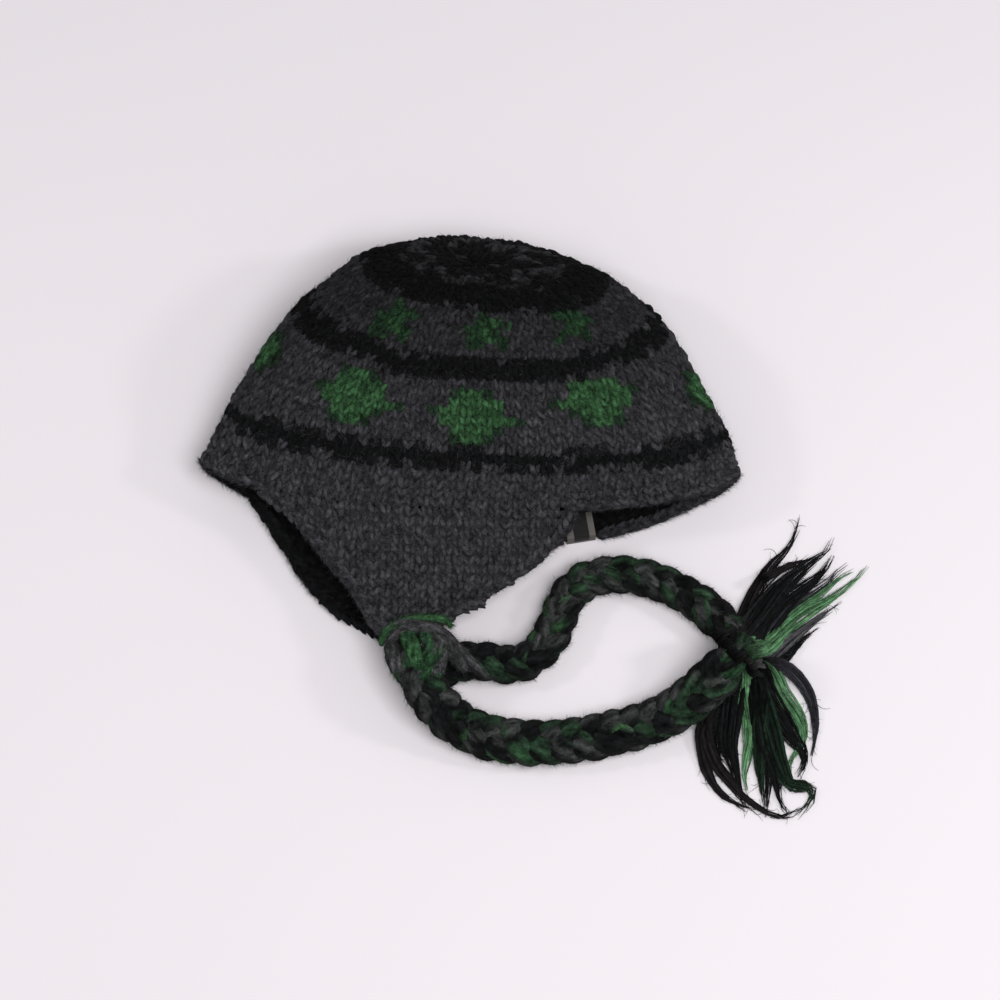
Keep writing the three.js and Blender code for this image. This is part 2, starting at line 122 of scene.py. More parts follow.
# up, half, set, lean, topSweep, baseSweep, topY, topZ, sideY, sideZ, baseY, baseZ: the shape of
# the rows from the rim to the gather, in shares of half the width, of CROWN_REACH and CROWN_LOFT
CROWN_SECTIONS = np.array([
    [0, 1, 0, 0.026, 1.6, 3, -0.21, 0.41, 0, 0.28, -0.27, -0.02],
    [0.14, 0.94, 0.025, 0.05, 1.4, 1.8, -0.06, 0.56, 0.17, 0.33, -0.05, -0.03],
    [0.29, 0.83, 0.025, 0.05, 1.2, 1.2, 0.09, 0.77, 0.385, 0.39, 0.17, -0.03],
    [0.43, 0.705, 0.035, 0.052, 1.1, 1.1, 0.235, 0.92, 0.595, 0.44, 0.42, -0.03],
    [0.56, 0.57, 0.045, 0.07, 1, 1, 0.36, 1, 0.73, 0.48, 0.69, -0.01],
    [0.7, 0.42, 0.055, 0.1, 1, 1, 0.525, 0.985, 0.83, 0.53, 0.985, 0.14],
    [0.86, 0.23, 0.035, 0.08, 1, 1, 0.645, 0.88, 0.795, 0.66, 0.93, 0.47],
    [1, 0, 0.01, 0, 1, 1, 0.75, 0.73, 0.75, 0.73, 0.75, 0.73],
])
SIDE_FULLNESS = 0.8
BASE_PRESS = 1.6

# down, left, right, sag, in shares of FLAP_LENGTH
NEAR_FLAP_ROWS = np.array([
    [0, 0, 0, 0],
    [0.15, -0.13, 0.09, 0.05],
    [0.4, -0.1, 0.16, 0.09],
    [0.7, -0.06, 0.15, 0.07],
    [0.88, 0, 0.07, 0.03],
    [1, 0, 0, 0],
])
FAR_FLAP_ROWS = np.array([
    [0, 0, 0, 0],
    [0.15, 0.035, -0.065, 0],
    [0.4, 0.11, -0.06, 0],
    [0.7, 0.19, -0.04, 0],
    [0.88, 0.15, -0.03, 0],
    [1, 0, 0, 0],
])
TIP_ROUND = 0.12
NEAR_TIP_SKEW = 0.2
NEAR_TIP_SIDE = -0.095
# Degrees round the rim, where each flap starts and ends and where the label lies
NEAR_FLAP_TURNS = (71, 140)
FAR_FLAP_TURNS = (284, 219)
LABEL_AT = 289.4

# The ties' routes from their roots, in millimetres: across, forward, height
NEAR_TIE_ROUTE = [
    [0, 0, 27.6], [0, 4, 27.6], [0.5, 9, 27.6], [3, 17, 27.4], [9, 24, 22], [17, 31, 15],
    [27, 36, 10.5], [38, 39.5, 9.2], [51, 41.5, 9], [69, 41.8, 9], [82, 40.5, 9], [94, 38, 9],
    [105, 35.5, 9], [116, 32, 9.6], [128, 27.5, 12], [139, 21.5, 17.5], [150, 13.5, 25],
    [158, 4.5, 28], [166.5, -6.5, 28.2],
]
FAR_TIE_ROUTE = [
    [0, 0, 9], [0, 4, 9], [1.2, 8.8, 9], [6, 12.5, 9], [14, 12, 9], [25, 7.5, 9], [37, 4.5, 9],
    [50, 6.5, 9], [61, 6, 9], [70, 0, 9], [76, -8, 9], [80, -18, 9], [84, -28.5, 9],
    [93, -38, 9], [108, -42, 9], [125, -40, 9], [141.5, -33, 9], [156.5, -23, 9],
    [167.5, -11, 9], [177, 0, 9],
]

# The camera: over the hat, tilted back from straight down
CAMERA_ELEVATION = math.radians(70)
CAMERA_DISTANCE = 2.5
VIEW_WIDTH = 0.520  # of floor in the picture
VIEW_CENTRE = Vector((0.0156, -0.0281, 0))


def srgb(red, green, blue):
    """A colour as seen on a screen, 0 to 255, as the linear one that materials take."""
    shares = np.array([red, green, blue]) / 255
    linear = np.where(shares < 0.04045, shares / 12.92, ((shares + 0.055) / 1.055) ** 2.4)
    return tuple(float(v) for v in linear)


YARNS = {
    "grey": srgb(60, 59, 63),
    "black": srgb(19, 20, 21),
    "green": srgb(56, 92, 59),
    "dull_green": srgb(37, 56, 41),
    "middle_green": srgb(43, 72, 48),
    "lock_green": srgb(84, 126, 88),
    "top_grey": srgb(60, 60, 63),
    "dark_green": srgb(26, 40, 30),
    "edge": srgb(52, 52, 56),
    "lining": srgb(13, 13, 14),
    "root_grey": srgb(53, 54, 54),
    "blue_grey": srgb(42, 42, 47),
    "lock_grey": srgb(68, 68, 70),
    "brown_black": srgb(27, 24, 25),
    "tape": srgb(103, 99, 95),
    "tape_middle": srgb(34, 33, 33),
    "tape_line": srgb(20, 20, 20),
}

random = np.random.default_rng(7)


def deselect_all():
    bpy.ops.object.select_all(action="DESELECT")


def along(rows, shares):
    """Smooth values of each column of a table, at shares of its first column."""
    shares = np.atleast_1d(np.asarray(shares, float))
    i = np.clip(np.searchsorted(rows[:, 0], shares), 1, len(rows) - 1)
    a, b = rows[i - 1], rows[i]
    before = rows[np.maximum(i - 2, 0)]
    after = rows[np.minimum(i + 1, len(rows) - 1)]
    span = b[:, :1] - a[:, :1]
    t = (shares[:, None] - a[:, :1]) / span
    m0 = (b - before) / (b[:, :1] - before[:, :1]) * span
    m1 = (after - a) / (after[:, :1] - a[:, :1]) * span
    return (
        (2 * t**3 - 3 * t**2 + 1) * a
        + (t**3 - 2 * t**2 + t) * m0
        + (3 * t**2 - 2 * t**3) * b
        + (t**3 - t**2) * m1
    )


def raw_crown_point(up, turn):
    """Points of the crown's outer face, before the hat is centred over the origin.

    up is the share of the rows from the rim to the gather, and turn runs round a row from the
    right side fold over the upper wall.
    """
    up, turn = np.broadcast_arrays(np.asarray(up, float), np.asarray(turn, float))
    shape = up.shape
    up, turn = up.ravel(), turn.ravel()
    row = along(CROWN_SECTIONS, up)
    half, set_right, lean, top_sweep, base_sweep = row[:, 1:6].T
    top_y, top_z, side_y, side_z, base_y, base_z = row[:, 6:].T
    cosine, sine = np.cos(turn), np.sin(turn)
    half_width = HAT_WIDTH / 2
    x = half_width * (set_right + half * np.sign(cosine) * np.abs(cosine) ** SIDE_FULLNESS)
    rise = np.abs(sine) ** SIDE_FULLNESS
    upper = sine >= 0
    guide_y = np.where(upper, top_y, base_y)
    guide_z = np.where(upper, top_z, base_z)
    sweep = np.where(upper, top_sweep, base_sweep)
    share = np.where(upper, rise, 1 - (1 - rise) ** BASE_PRESS)
    y = CROWN_REACH * (side_y + (guide_y - side_y) * rise**sweep) - lean * x
    z = np.maximum(0, CROWN_LOFT * (side_z + (guide_z - side_z) * share))
    return np.stack([x, y, z], -1).reshape(shape + (3,))


# The hat's own box, without its ties, is centred over the origin.
crown_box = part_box("crown")
raw_top = raw_crown_point(*np.meshgrid(np.linspace(0, 0.95, 96), np.linspace(0, 2 * np.pi, 361)))
CENTRING = np.array([0, crown_box[1][1] - raw_top[..., 1].max(), 0])


def crown_point(up, turn):
    return raw_crown_point(up, turn) + CENTRING


def unit(vectors):
    length = np.linalg.norm(vectors, axis=-1, keepdims=True)
    return vectors / np.maximum(length, 1e-12)


def run_along(points):
    """How far along a line of points each one lies."""
    return np.concatenate([[0], np.cumsum(np.linalg.norm(np.diff(points, axis=0), axis=1))])


def at_runs(spots, run, values):
    """The values, which are given at each run, at the spots."""
    return np.stack([np.interp(spots, run, values[:, i]) for i in range(3)], 1)


def crown_frame(up, turn):
    """Points of the crown and, at each, the ways to the right, up the rows and outwards."""
    step = 0.006
    point = crown_point(up, turn)
    rising = crown_point(np.minimum(up + step, 0.995), turn) - crown_point(up - step, turn)
    aside = crown_point(up, turn - step) - crown_point(up, turn + step)
    up_way = unit(rising)
    out_way = unit(np.cross(aside, up_way))
    return point, np.cross(up_way, out_way), up_way, out_way


class Flap:
    """An ear flap's outer face, as on its solid."""

    def __init__(self, start, end, side, length, tip_height, skew, rows):
        self.start, self.end = math.radians(start), math.radians(end)
        self.side, self.skew, self.rows = side, skew, rows
        middle = crown_point(0, (self.start + self.end) / 2)
        self.tip = np.array([side, middle[1] - length, tip_height])

    def reach(self):
        bulge = TIP_ROUND * FLAP_LENGTH
        return bulge + (self.skew * FLAP_TIP_WIDTH) ** 2 / (4 * bulge)

    def point(self, down, across):
        down, across = np.broadcast_arrays(np.asarray(down, float), np.asarray(across, float))
        turn = self.end + (self.start - self.end) * across
        rim = crown_point(0, turn)
        rim = rim + SEAM_GAP * unit(rim - crown_point(0.02, turn))
        swing = 2 * across - 1
        tip = np.broadcast_to(self.tip, rim.shape).copy()
        tip[..., 0] += swing * FLAP_TIP_WIDTH / 2
        bulge = TIP_ROUND * FLAP_LENGTH * (1 - swing**2)
        tip[..., 1] -= bulge - self.skew * swing * FLAP_TIP_WIDTH
        value = along(self.rows, down.ravel()).reshape(down.shape + (4,)) * FLAP_LENGTH
        place = rim + (tip - rim) * down[..., None]
        place[..., 0] += value[..., 2] * across - value[..., 1] * (1 - across)
        place[..., 2] -= value[..., 3]
        return place


near_flap = Flap(*NEAR_FLAP_TURNS, NEAR_TIP_SIDE * HAT_WIDTH, FLAP_LENGTH, NEAR_TIP_HEIGHT,
                 NEAR_TIP_SKEW, NEAR_FLAP_ROWS)
far_flap = Flap(*FAR_FLAP_TURNS, NEAR_TIP_SIDE * HAT_WIDTH - FAR_TIP_SET,
                FLAP_LENGTH - FAR_TIP_BACK, 0, 0, FAR_FLAP_ROWS)


# Camera and light

def add_camera():
    data = bpy.data.cameras.new("camera")
    data.sensor_width = 36
    data.lens = data.sensor_width * CAMERA_DISTANCE / VIEW_WIDTH
    camera = bpy.data.objects.new("camera", data)
    bpy.context.scene.collection.objects.link(camera)
    away = Vector((0, -math.cos(CAMERA_ELEVATION), math.sin(CAMERA_ELEVATION)))
    camera.location = VIEW_CENTRE + away * CAMERA_DISTANCE
    camera.rotation_euler = (math.pi / 2 - CAMERA_ELEVATION, 0, 0)
    data.clip_start, data.clip_end = 0.05, 20
    bpy.context.scene.camera = camera


def add_light(name, place, size, power):
    """A large square lamp that faces the hat."""
    data = bpy.data.lights.new(name, "AREA")
    data.size = size
    data.energy = power
    lamp = bpy.data.objects.new(name, data)
    bpy.context.scene.collection.objects.link(lamp)
    lamp.location = place
    lamp.rotation_euler = (-Vector(place)).to_track_quat("-Z", "Y").to_euler()


def add_surroundings():
    world = bpy.data.worlds.new("studio")
    bpy.context.scene.world = world
    world.use_nodes = True
    background = world.node_tree.nodes["Background"]
    background.inputs["Color"].default_value = (0.88, 0.86, 0.87, 1)
    background.inputs["Strength"].default_value = 0.37
    add_light("lamp_left", (-0.85, 0.05, 0.85), 0.14, 1.5)
    add_light("lamp_right", (0.9, -0.1, 0.72), 0.14, 1.8)
    add_light("lamp_over", (0.4, -0.7, 1.9), 1.1, 26.5)
    bpy.context.scene.view_settings.view_transform = "Standard"


add_camera()


# The ties' centrelines

def smooth_curve(points, steps):
    """Places along a centripetal spline through the points, evenly spaced."""
    points = np.asarray(points, float)
    padded = np.vstack([2 * points[0] - points[1], points, 2 * points[-1] - points[-2]])
    pieces = []
    for p0, p1, p2, p3 in zip(padded, padded[1:], padded[2:], padded[3:]):
        k1 = np.linalg.norm(p1 - p0) ** 0.5
        k2 = k1 + np.linalg.norm(p2 - p1) ** 0.5
        k3 = k2 + np.linalg.norm(p3 - p2) ** 0.5
        t = np.linspace(k1, k2, 12, endpoint=False)[:, None]
        a1 = (k1 - t) / k1 * p0 + t / k1 * p1
        a2 = (k2 - t) / (k2 - k1) * p1 + (t - k1) / (k2 - k1) * p2
        a3 = (k3 - t) / (k3 - k2) * p2 + (t - k2) / (k3 - k2) * p3
        b1 = (k2 - t) / k2 * a1 + t / k2 * a2
        b2 = (k3 - t) / (k3 - k1) * a2 + (t - k1) / (k3 - k1) * a3
        pieces.append((k2 - t) / (k2 - k1) * b1 + (t - k1) / (k2 - k1) * b2)
    fine = np.vstack(pieces + [points[-1:]])
    run = run_along(fine)
    even = np.linspace(0, run[-1], steps + 1)
    return at_runs(even, run, fine), run[-1]


def tie_route(flap, route):
    start_y = flap.tip[1] - flap.reach() - SEAM_GAP - TIE_ROOT_LENGTH - SEAM_GAP
    places = []
    for across, forward, height in route:
        places.append([flap.side + across / 1000, start_y - forward / 1000, height / 1000])
    return places


TIE_STEPS = 150
near_path, near_length = smooth_curve(tie_route(near_flap, NEAR_TIE_ROUTE), TIE_STEPS)
far_path, far_length = smooth_curve(tie_route(far_flap, FAR_TIE_ROUTE), TIE_STEPS)


# Materials

def fibre_group():
    """Wool seen close: fine fibres, and the felted unevenness of a knit that has been worn."""
    group = bpy.data.node_groups.new("wool_fibres", "ShaderNodeTree")
    for name, value in (
        ("Fibre Scale", 900.0), ("Felt Scale", 260.0), ("Contrast", 1.0), ("Streaks", 0.5),
    ):
        socket = group.interface.new_socket(name, in_out="INPUT", socket_type="NodeSocketFloat")
        socket.default_value = value
    for name in ("Shade", "Height"):
        group.interface.new_socket(name, in_out="OUTPUT", socket_type="NodeSocketFloat")
    nodes, links = group.nodes, group.links
    inputs = nodes.new("NodeGroupInput")
    outputs = nodes.new("NodeGroupOutput")
    place = nodes.new("ShaderNodeTexCoord")
    fibre = nodes.new("ShaderNodeTexNoise")
    fibre.inputs["Detail"].default_value = 3.0
    fibre.inputs["Roughness"].default_value = 0.7
    felt = nodes.new("ShaderNodeTexNoise")
    felt.inputs["Detail"].default_value = 2.0

    def math_node(operation, *values):
        node = nodes.new("ShaderNodeMath")
        node.operation = operation
        for socket, value in zip(node.inputs, values):
            if isinstance(value, bpy.types.NodeSocket):
                links.new(value, socket)
            else:
                socket.default_value = value
        return node.outputs[0]

    stretch = nodes.new("ShaderNodeVectorMath")
    stretch.operation = "MULTIPLY"
    stretch.inputs[1].default_value = (0.22, 5.5, 1.0)
    streak = nodes.new("ShaderNodeTexNoise")
    streak.inputs["Scale"].default_value = 1.0
    streak.inputs["Detail"].default_value = 3.0
    links.new(place.outputs["UV"], stretch.inputs[0])
    links.new(stretch.outputs[0], streak.inputs["Vector"])
    links.new(place.outputs["Object"], fibre.inputs["Vector"])
    links.new(place.outputs["Object"], felt.inputs["Vector"])
    links.new(inputs.outputs["Fibre Scale"], fibre.inputs["Scale"])
    links.new(inputs.outputs["Felt Scale"], felt.inputs["Scale"])
    # Noise keeps near 0.5, so each one's distance from there is stretched before it is added.
    fine = math_node("MULTIPLY_ADD", fibre.outputs["Fac"], 2.2, -1.1)
    broad = math_node("MULTIPLY_ADD", felt.outputs["Fac"], 2.4, -1.2)
    both = math_node("ADD", fine, broad)
    felted = math_node("MULTIPLY_ADD", both, inputs.outputs["Contrast"], 1.0)
    lines = math_node("MULTIPLY_ADD", streak.outputs["Fac"], 3.6, -1.8)
    shade = math_node("MULTIPLY_ADD", lines, inputs.outputs["Streaks"], felted)
    links.new(math_node("MAXIMUM", shade, 0.2), outputs.inputs["Shade"])
    relief = math_node("MULTIPLY_ADD", felt.outputs["Fac"], 1.5, fibre.outputs["Fac"])
    height = math_node("MULTIPLY_ADD", streak.outputs["Fac"], inputs.outputs["Streaks"], relief)
    links.new(height, outputs.inputs["Height"])
    return group


wool_fibres = fibre_group()


def new_material(name, **settings):
    """A material, its nodes, links and shader. settings name the shader's sockets."""
    material = bpy.data.materials.new(name)
    material.use_nodes = True
    nodes, links = material.node_tree.nodes, material.node_tree.links
    shader = nodes["Principled BSDF"]
    for socket, value in settings.items():
        shader.inputs[socket.replace("_", " ")].default_value = value
    return material, nodes, links, shader


def dye_and_emboss(nodes, links, shader, shade, height, bump, depth):
    """Gives a shader the piece's own yarn colour times a shade, and a bump from a height."""
    yarn = nodes.new("ShaderNodeAttribute")
    yarn.attribute_name = "yarn"
    colour = nodes.new("ShaderNodeMix")
    colour.data_type = "RGBA"
    colour.blend_type = "MULTIPLY"
    colour.inputs["Factor"].default_value = 1.0
    relief = nodes.new("ShaderNodeBump")
    relief.inputs["Strength"].default_value = bump
    relief.inputs["Distance"].default_value = depth
    links.new(yarn.outputs["Color"], colour.inputs["A"])
    links.new(shade, colour.inputs["B"])
    links.new(colour.outputs["Result"], shader.inputs["Base Color"])
    links.new(height, relief.inputs["Height"])
    links.new(relief.outputs["Normal"], shader.inputs["Normal"])


def wool(name, contrast, streaks, bump=0.8):
    """A wool whose colour comes from the piece's own yarn attribute."""
    material, nodes, links, shader = new_material(
        name, Roughness=1.0, Specular_IOR_Level=0.04, Sheen_Weight=0.02, Sheen_Roughness=0.6,
    )
    fibres = nodes.new("ShaderNodeGroup")
    fibres.node_tree = wool_fibres
    fibres.inputs["Contrast"].default_value = contrast
    fibres.inputs["Streaks"].default_value = streaks
    dye_and_emboss(nodes, links, shader, fibres.outputs["Shade"], fibres.outputs["Height"],
                   bump, WOOL_RELIEF)
    return material


def woven_tape():
    """Satin tape: a fine weave on the label's own UV, and its bands in the yarn attribute."""
    material, nodes, links, shader = new_material(
        "woven_tape", Roughness=0.75, Specular_IOR_Level=0.2,
    )
    place = nodes.new("ShaderNodeTexCoord")
    threads = nodes.new("ShaderNodeTexWave")
    threads.inputs["Scale"].default_value = 1.1
    threads.inputs["Distortion"].default_value = 1.5
    shade = nodes.new("ShaderNodeMath")
    shade.operation = "MULTIPLY_ADD"
    shade.inputs[1].default_value = 0.3
    shade.inputs[2].default_value = 0.85
    links.new(place.outputs["UV"], threads.inputs["Vector"])
    links.new(threads.outputs["Fac"], shade.inputs[0])
    dye_and_emboss(nodes, links, shader, shade.outputs[0], threads.outputs["Fac"],
                   0.4, TAPE_RELIEF)
    return material


knit_wool = wool("knit_wool", contrast=1.2, streaks=0.35)
braid_wool = wool("braid_wool", contrast=0.8, streaks=0.9)
tassel_wool = wool("tassel_wool", contrast=0.6, streaks=0.6, bump=0.5)
fuzz_wool = wool("fuzz_wool", contrast=0.2, streaks=0.0, bump=0.0)
label_tape = woven_tape()


# Meshes from arrays

def mesh_piece(name, points, faces, colours, uvs, material):
    """A piece from arrays: points, faces by their points, and a colour and a UV for each point."""
    mesh = bpy.data.meshes.new(name)
    mesh.from_pydata(np.asarray(points), [], np.asarray(faces))
    yarn = mesh.color_attributes.new(name="yarn", type="FLOAT_COLOR", domain="POINT")
    rgba = np.ones((len(points), 4), np.float32)
    rgba[:, :3] = colours
    yarn.data.foreach_set("color", rgba.ravel())
    corners = np.empty(len(mesh.loops), np.int32)
    mesh.loops.foreach_get("vertex_index", corners)
    layer = mesh.uv_layers.new(name="yarn_run")
    layer.data.foreach_set("uv", np.asarray(uvs, np.float32)[corners].ravel())
    mesh.polygons.foreach_set("use_smooth", np.ones(len(mesh.polygons), bool))
    mesh.materials.append(material)
    mesh.validate()
    piece = bpy.data.objects.new(name, mesh)
    bpy.context.scene.collection.objects.link(piece)
    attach(piece, "root")
    return piece


class Gathered:
    """Many small closed shapes that become one piece."""

    def __init__(self):
        self.points, self.faces, self.colours, self.uvs = [], [], [], []
        self.count = 0

    def add(self, points, faces, colours, uvs):
        """points are (copies, corners, 3), colours (copies, 3) or (copies, corners, 3)."""
        copies, corners, _ = points.shape
        colours = np.asarray(colours, float)
        if colours.ndim == 2:
            colours = np.repeat(colours[:, None], corners, 1)
        starts = self.count + np.arange(copies) * corners
        self.points.append(points.reshape(-1, 3))
        self.faces.append((faces[None] + starts[:, None, None]).reshape(-1, 3))
        self.colours.append(colours.reshape(-1, 3))
        self.uvs.append(np.tile(uvs, (copies, 1)))
        self.count += copies * corners

    def piece(self, name, material, slot_name):
        points, faces, colours, uvs = (
            np.concatenate(a) for a in (self.points, self.faces, self.colours, self.uvs)
        )
        points[:, 2] = np.maximum(points[:, 2], 0)
        return mesh_piece(name, points, faces, np.clip(colours, 0, 1), uvs, material)


def body_and_fuzz(name, body, fuzz, suffix, material, slot_name, node):
    """A node's yarn and the fuzz on it, as two pieces, the first in the node's place."""
    pieces = [body.piece(name, material, slot_name), fuzz.piece(name + suffix, fuzz_wool, slot_name)]
    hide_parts(node)
    return pieces


def tube_faces(rings, sides):
    """The triangles of a tube of rings with a pointed cap at each end, the caps' tips last."""
    faces = []
    for i in range(rings - 1):
        for j in range(sides):
            a, b = i * sides + j, i * sides + (j + 1) % sides
            faces += [[a, b, b + sides], [a, b + sides, a + sides]]
    first, last = rings * sides, rings * sides + 1
    for j in range(sides):
        k = (j + 1) % sides
        faces.append([first, k, j])
        faces.append([last, (rings - 1) * sides + j, (rings - 1) * sides + k])
    return np.array(faces)


def tubes(paths, radii, sides, flatness=1.0):
    """Tubes along paths (copies, rings, 3) with radii (copies, rings)."""
    paths = np.asarray(paths, float)
    radii = np.broadcast_to(radii, paths.shape[:2])
    way = unit(np.gradient(paths, axis=1))
    aside = unit(np.cross(way, np.array([0.013, 0.021, 1.0])))
    over = np.cross(aside, way)
    turns = 2 * np.pi * np.arange(sides) / sides
    ring = (
        aside[:, :, None] * np.cos(turns)[None, None, :, None]
        + over[:, :, None] * np.sin(turns)[None, None, :, None] * flatness
    )
    points = paths[:, :, None] + ring * radii[:, :, None, None]
    caps = np.stack([
        paths[:, 0] - way[:, 0] * radii[:, :1] * 0.5,
        paths[:, -1] + way[:, -1] * radii[:, -1:] * 0.5,
    ], 1)
    copies = len(paths)
    return np.concatenate([points.reshape(copies, -1, 3), caps], 1)


def tube_uvs(rings, sides, length):
    """UVs that run along a tube, in millimetres, and once round it."""
    run = np.repeat(np.linspace(0, length * 1000, rings), sides)
    round_it = np.tile(np.arange(sides) * 2.0 / sides, rings)
    ends = np.array([[0, 0.5], [length * 1000, 0.5]])
    return np.vstack([np.stack([run, round_it], 1), ends])


def wandering(count, steps, smoothness):
    """Smooth random courses about 0, of about 1 in size: one row for each of count."""
    knots = max(2, int(steps / smoothness) + 2)
    values = random.normal(0, 1, (count, knots))
    at = np.linspace(0, knots - 1, steps)
    low = np.minimum(at.astype(int), knots - 2)
    t = at - low
    t = t * t * (3 - 2 * t)
    return values[:, low] * (1 - t) + values[:, low + 1] * t


HAIR_TURNS = (0.3, 0.3 + 2 * np.pi / 3, 0.3 + 4 * np.pi / 3)  # of the corners round a fibre

# A hair: a bent, tapering tube of three sides
HAIR_FACES = np.array([
    [0, 1, 4], [0, 4, 3], [1, 2, 5], [1, 5, 4], [2, 0, 3], [2, 3, 5],
    [3, 4, 6], [4, 5, 6], [5, 3, 6], [0, 2, 1],
])
HAIR_UVS = np.array([[0, 0], [0, 1], [0, 2], [1, 0], [1, 1], [1, 2], [2, 1]], float)


def add_hairs(gathered, start, way, out, length, lift, width, dyes):
    """Hairs that leave start along way and rise off the surface, whose normal is out."""
    count = len(start)
    way = unit(way - out * np.sum(way * out, axis=1, keepdims=True))
    aside = np.cross(out, way)
    length, lift = length[:, None], lift[:, None]
    sway = random.normal(0, 0.3, (count, 2))
    middle = start + (way * 0.5 + aside * sway[:, :1] * 0.5 + out * lift * 0.35) * length
    tip = start + (way + aside * (sway[:, :1] + sway[:, 1:] * 0.7) + out * lift) * length
    half = np.asarray(width).reshape(-1, 1) / 2
    corners = []
    for centre, share in ((start, 1.0), (middle, 0.8)):
        for turn in HAIR_TURNS:
            corners.append(centre + (aside * math.cos(turn) + out * math.sin(turn)) * half * share)
    corners.append(tip)
    gathered.add(np.stack(corners, 1), HAIR_FACES, dyes, HAIR_UVS)


# A tuft of a few fibres: a thin spike of three sides
TUFT_FACES = np.array([[0, 1, 3], [1, 2, 3], [2, 0, 3], [0, 2, 1]])
TUFT_UVS = np.array([[0, 0], [0, 1], [0, 2], [2, 1]], float)


def add_tufts(gathered, start, way, out, length, lift, width, dyes):
    """Tufts that leave start along way and rise off the surface, whose normal is out."""
    way = unit(way - out * np.sum(way * out, axis=1, keepdims=True))
    aside = np.cross(out, way)
    tip = start + (way + out * lift[:, None]) * length[:, None]
    corners = []
    for turn in HAIR_TURNS:
        corners.append(start + (aside * math.cos(turn) + out * math.sin(turn)) * width / 2)
    gathered.add(np.stack(corners + [tip], 1), TUFT_FACES, dyes, TUFT_UVS)


def add_fuzz(gathered, start, way, out, dyes, halo_share):
    """Tufts that lie close, and among them a share of longer hairs that stand off."""
    count = len(start)
    halo = random.random(count) < halo_share
    close = ~halo
    part = close.sum()
    tints = random.uniform(0.4, 1.9, (part, 1))
    add_tufts(gathered, start[close] - out[close] * 0.0004, way[close], out[close],
              random.uniform(0.0014, 0.0040, part), random.uniform(0.0, 0.85, part), TUFT_WIDTH,
              dyes[close] * tints)
    part = halo.sum()
    add_hairs(gathered, start[halo] - out[halo] * 0.0004, way[halo], out[halo],
              random.uniform(0.002, 0.0048, part), random.uniform(0.2, 0.9, part),
              np.full(part, HAIR_WIDTH), dyes[halo] * random.uniform(0.8, 1.8, (part, 1)))


# The stitch: one leg of a knitted V, modelled once

LEG_SIDES = 5
LEG_RINGS = 5


def leg_model():
    """A ball of yarn with few faces, drawn out along Z from -1 to 1 and full in the middle."""
    deselect_all()
    bpy.ops.mesh.primitive_uv_sphere_add(segments=LEG_SIDES, ring_count=LEG_RINGS, radius=1)
    ball = bpy.context.object
    bpy.ops.object.mode_set(mode="EDIT")
    bpy.ops.mesh.select_all(action="SELECT")
    bpy.ops.mesh.quads_convert_to_tris()
    bpy.ops.object.mode_set(mode="OBJECT")
    mesh = ball.data
    points = np.empty(len(mesh.vertices) * 3)
    mesh.vertices.foreach_get("co", points)
    points = points.reshape(-1, 3)
    faces = np.empty(len(mesh.polygons) * 3, np.int32)
    mesh.polygons.foreach_get("vertices", faces)
    faces = faces.reshape(-1, 3)
    bpy.data.objects.remove(ball)
    bpy.data.meshes.remove(mesh)
    fullness = np.maximum(1e-6, 1 - points[:, 2] ** 2) ** -0.2
    points[:, :2] *= fullness[:, None]
    return points, faces


leg_points, leg_faces = leg_model()
leg_uvs = np.stack([leg_points[:, 2] * 3, np.arctan2(leg_points[:, 1], leg_points[:, 0])], 1)


def knit_stitches(gathered, point, side, up, out, width, height, colours, tilt=0.3, thick=YARN):
    """Adds a V of two legs at each point. width and height are its share of the fabric."""
    count = len(point)
    corners = len(leg_points)
    width, height = np.broadcast_to(width, count), np.broadcast_to(height, count)
    run = (leg_points[:, 2] + 1) / 2
    shift = random.normal(0, STITCH_WANDER, (count, 3))
    for hand in (-1, 1):
        wobble = random.normal(0, 1, (count, 5))
        length = height * (1.5 + 0.14 * wobble[:, 0])
        spread = width * (0.25 + 0.03 * wobble[:, 1])
        slant = tilt + 0.14 * wobble[:, 2]
        radius = thick / 2 * (1 + 0.13 * wobble[:, 3])
        along_leg = (run[None] - 0.5) * length[:, None]
        s = hand * (spread[:, None] + np.sin(slant)[:, None] * along_leg)
        s = s + leg_points[None, :, 0] * np.minimum(radius, width * 0.28)[:, None]
        u = np.cos(slant)[:, None] * along_leg
        sink = LEG_BOW * (1.6 * run - 0.55) ** 2
        n = leg_points[None, :, 1] * radius[:, None] * 0.85 - sink[None]
        n = n + 0.0003 * wobble[:, 4][:, None]
        lumps = random.normal(0, YARN_LUMPS, (3, count, corners))
        s, u, n = s + lumps[0], u + lumps[1], n + lumps[2]
        places = (
            point[:, None]
            + side[:, None] * (s + shift[:, :1])[..., None]
            + up[:, None] * (u + shift[:, 1:2])[..., None]
            + out[:, None] * (n + shift[:, 2:] * 0.8)[..., None]
        )
        tint = 1 + 0.1 * random.normal(0, 1, (count, 1))
        tint = np.maximum(tint + 0.16 * random.normal(0, 1, (count, corners)), 0.3)
        gathered.add(places, leg_faces, colours[:, None] * tint[..., None], leg_uvs)


def evenly_round(up, count, shift=0.0):
    """Turns of count stitches spaced evenly along a row, the first at the top, and their width."""
    turns = np.pi / 2 + np.linspace(0, 2 * np.pi, 721)
    run = run_along(crown_point(np.full(len(turns), up), turns))
    shares = (np.arange(count) + shift) / count
    return np.interp(shares * run[-1], run, turns), run[-1] / count


def girth_of(up):
    return evenly_round(up, 1)[1]


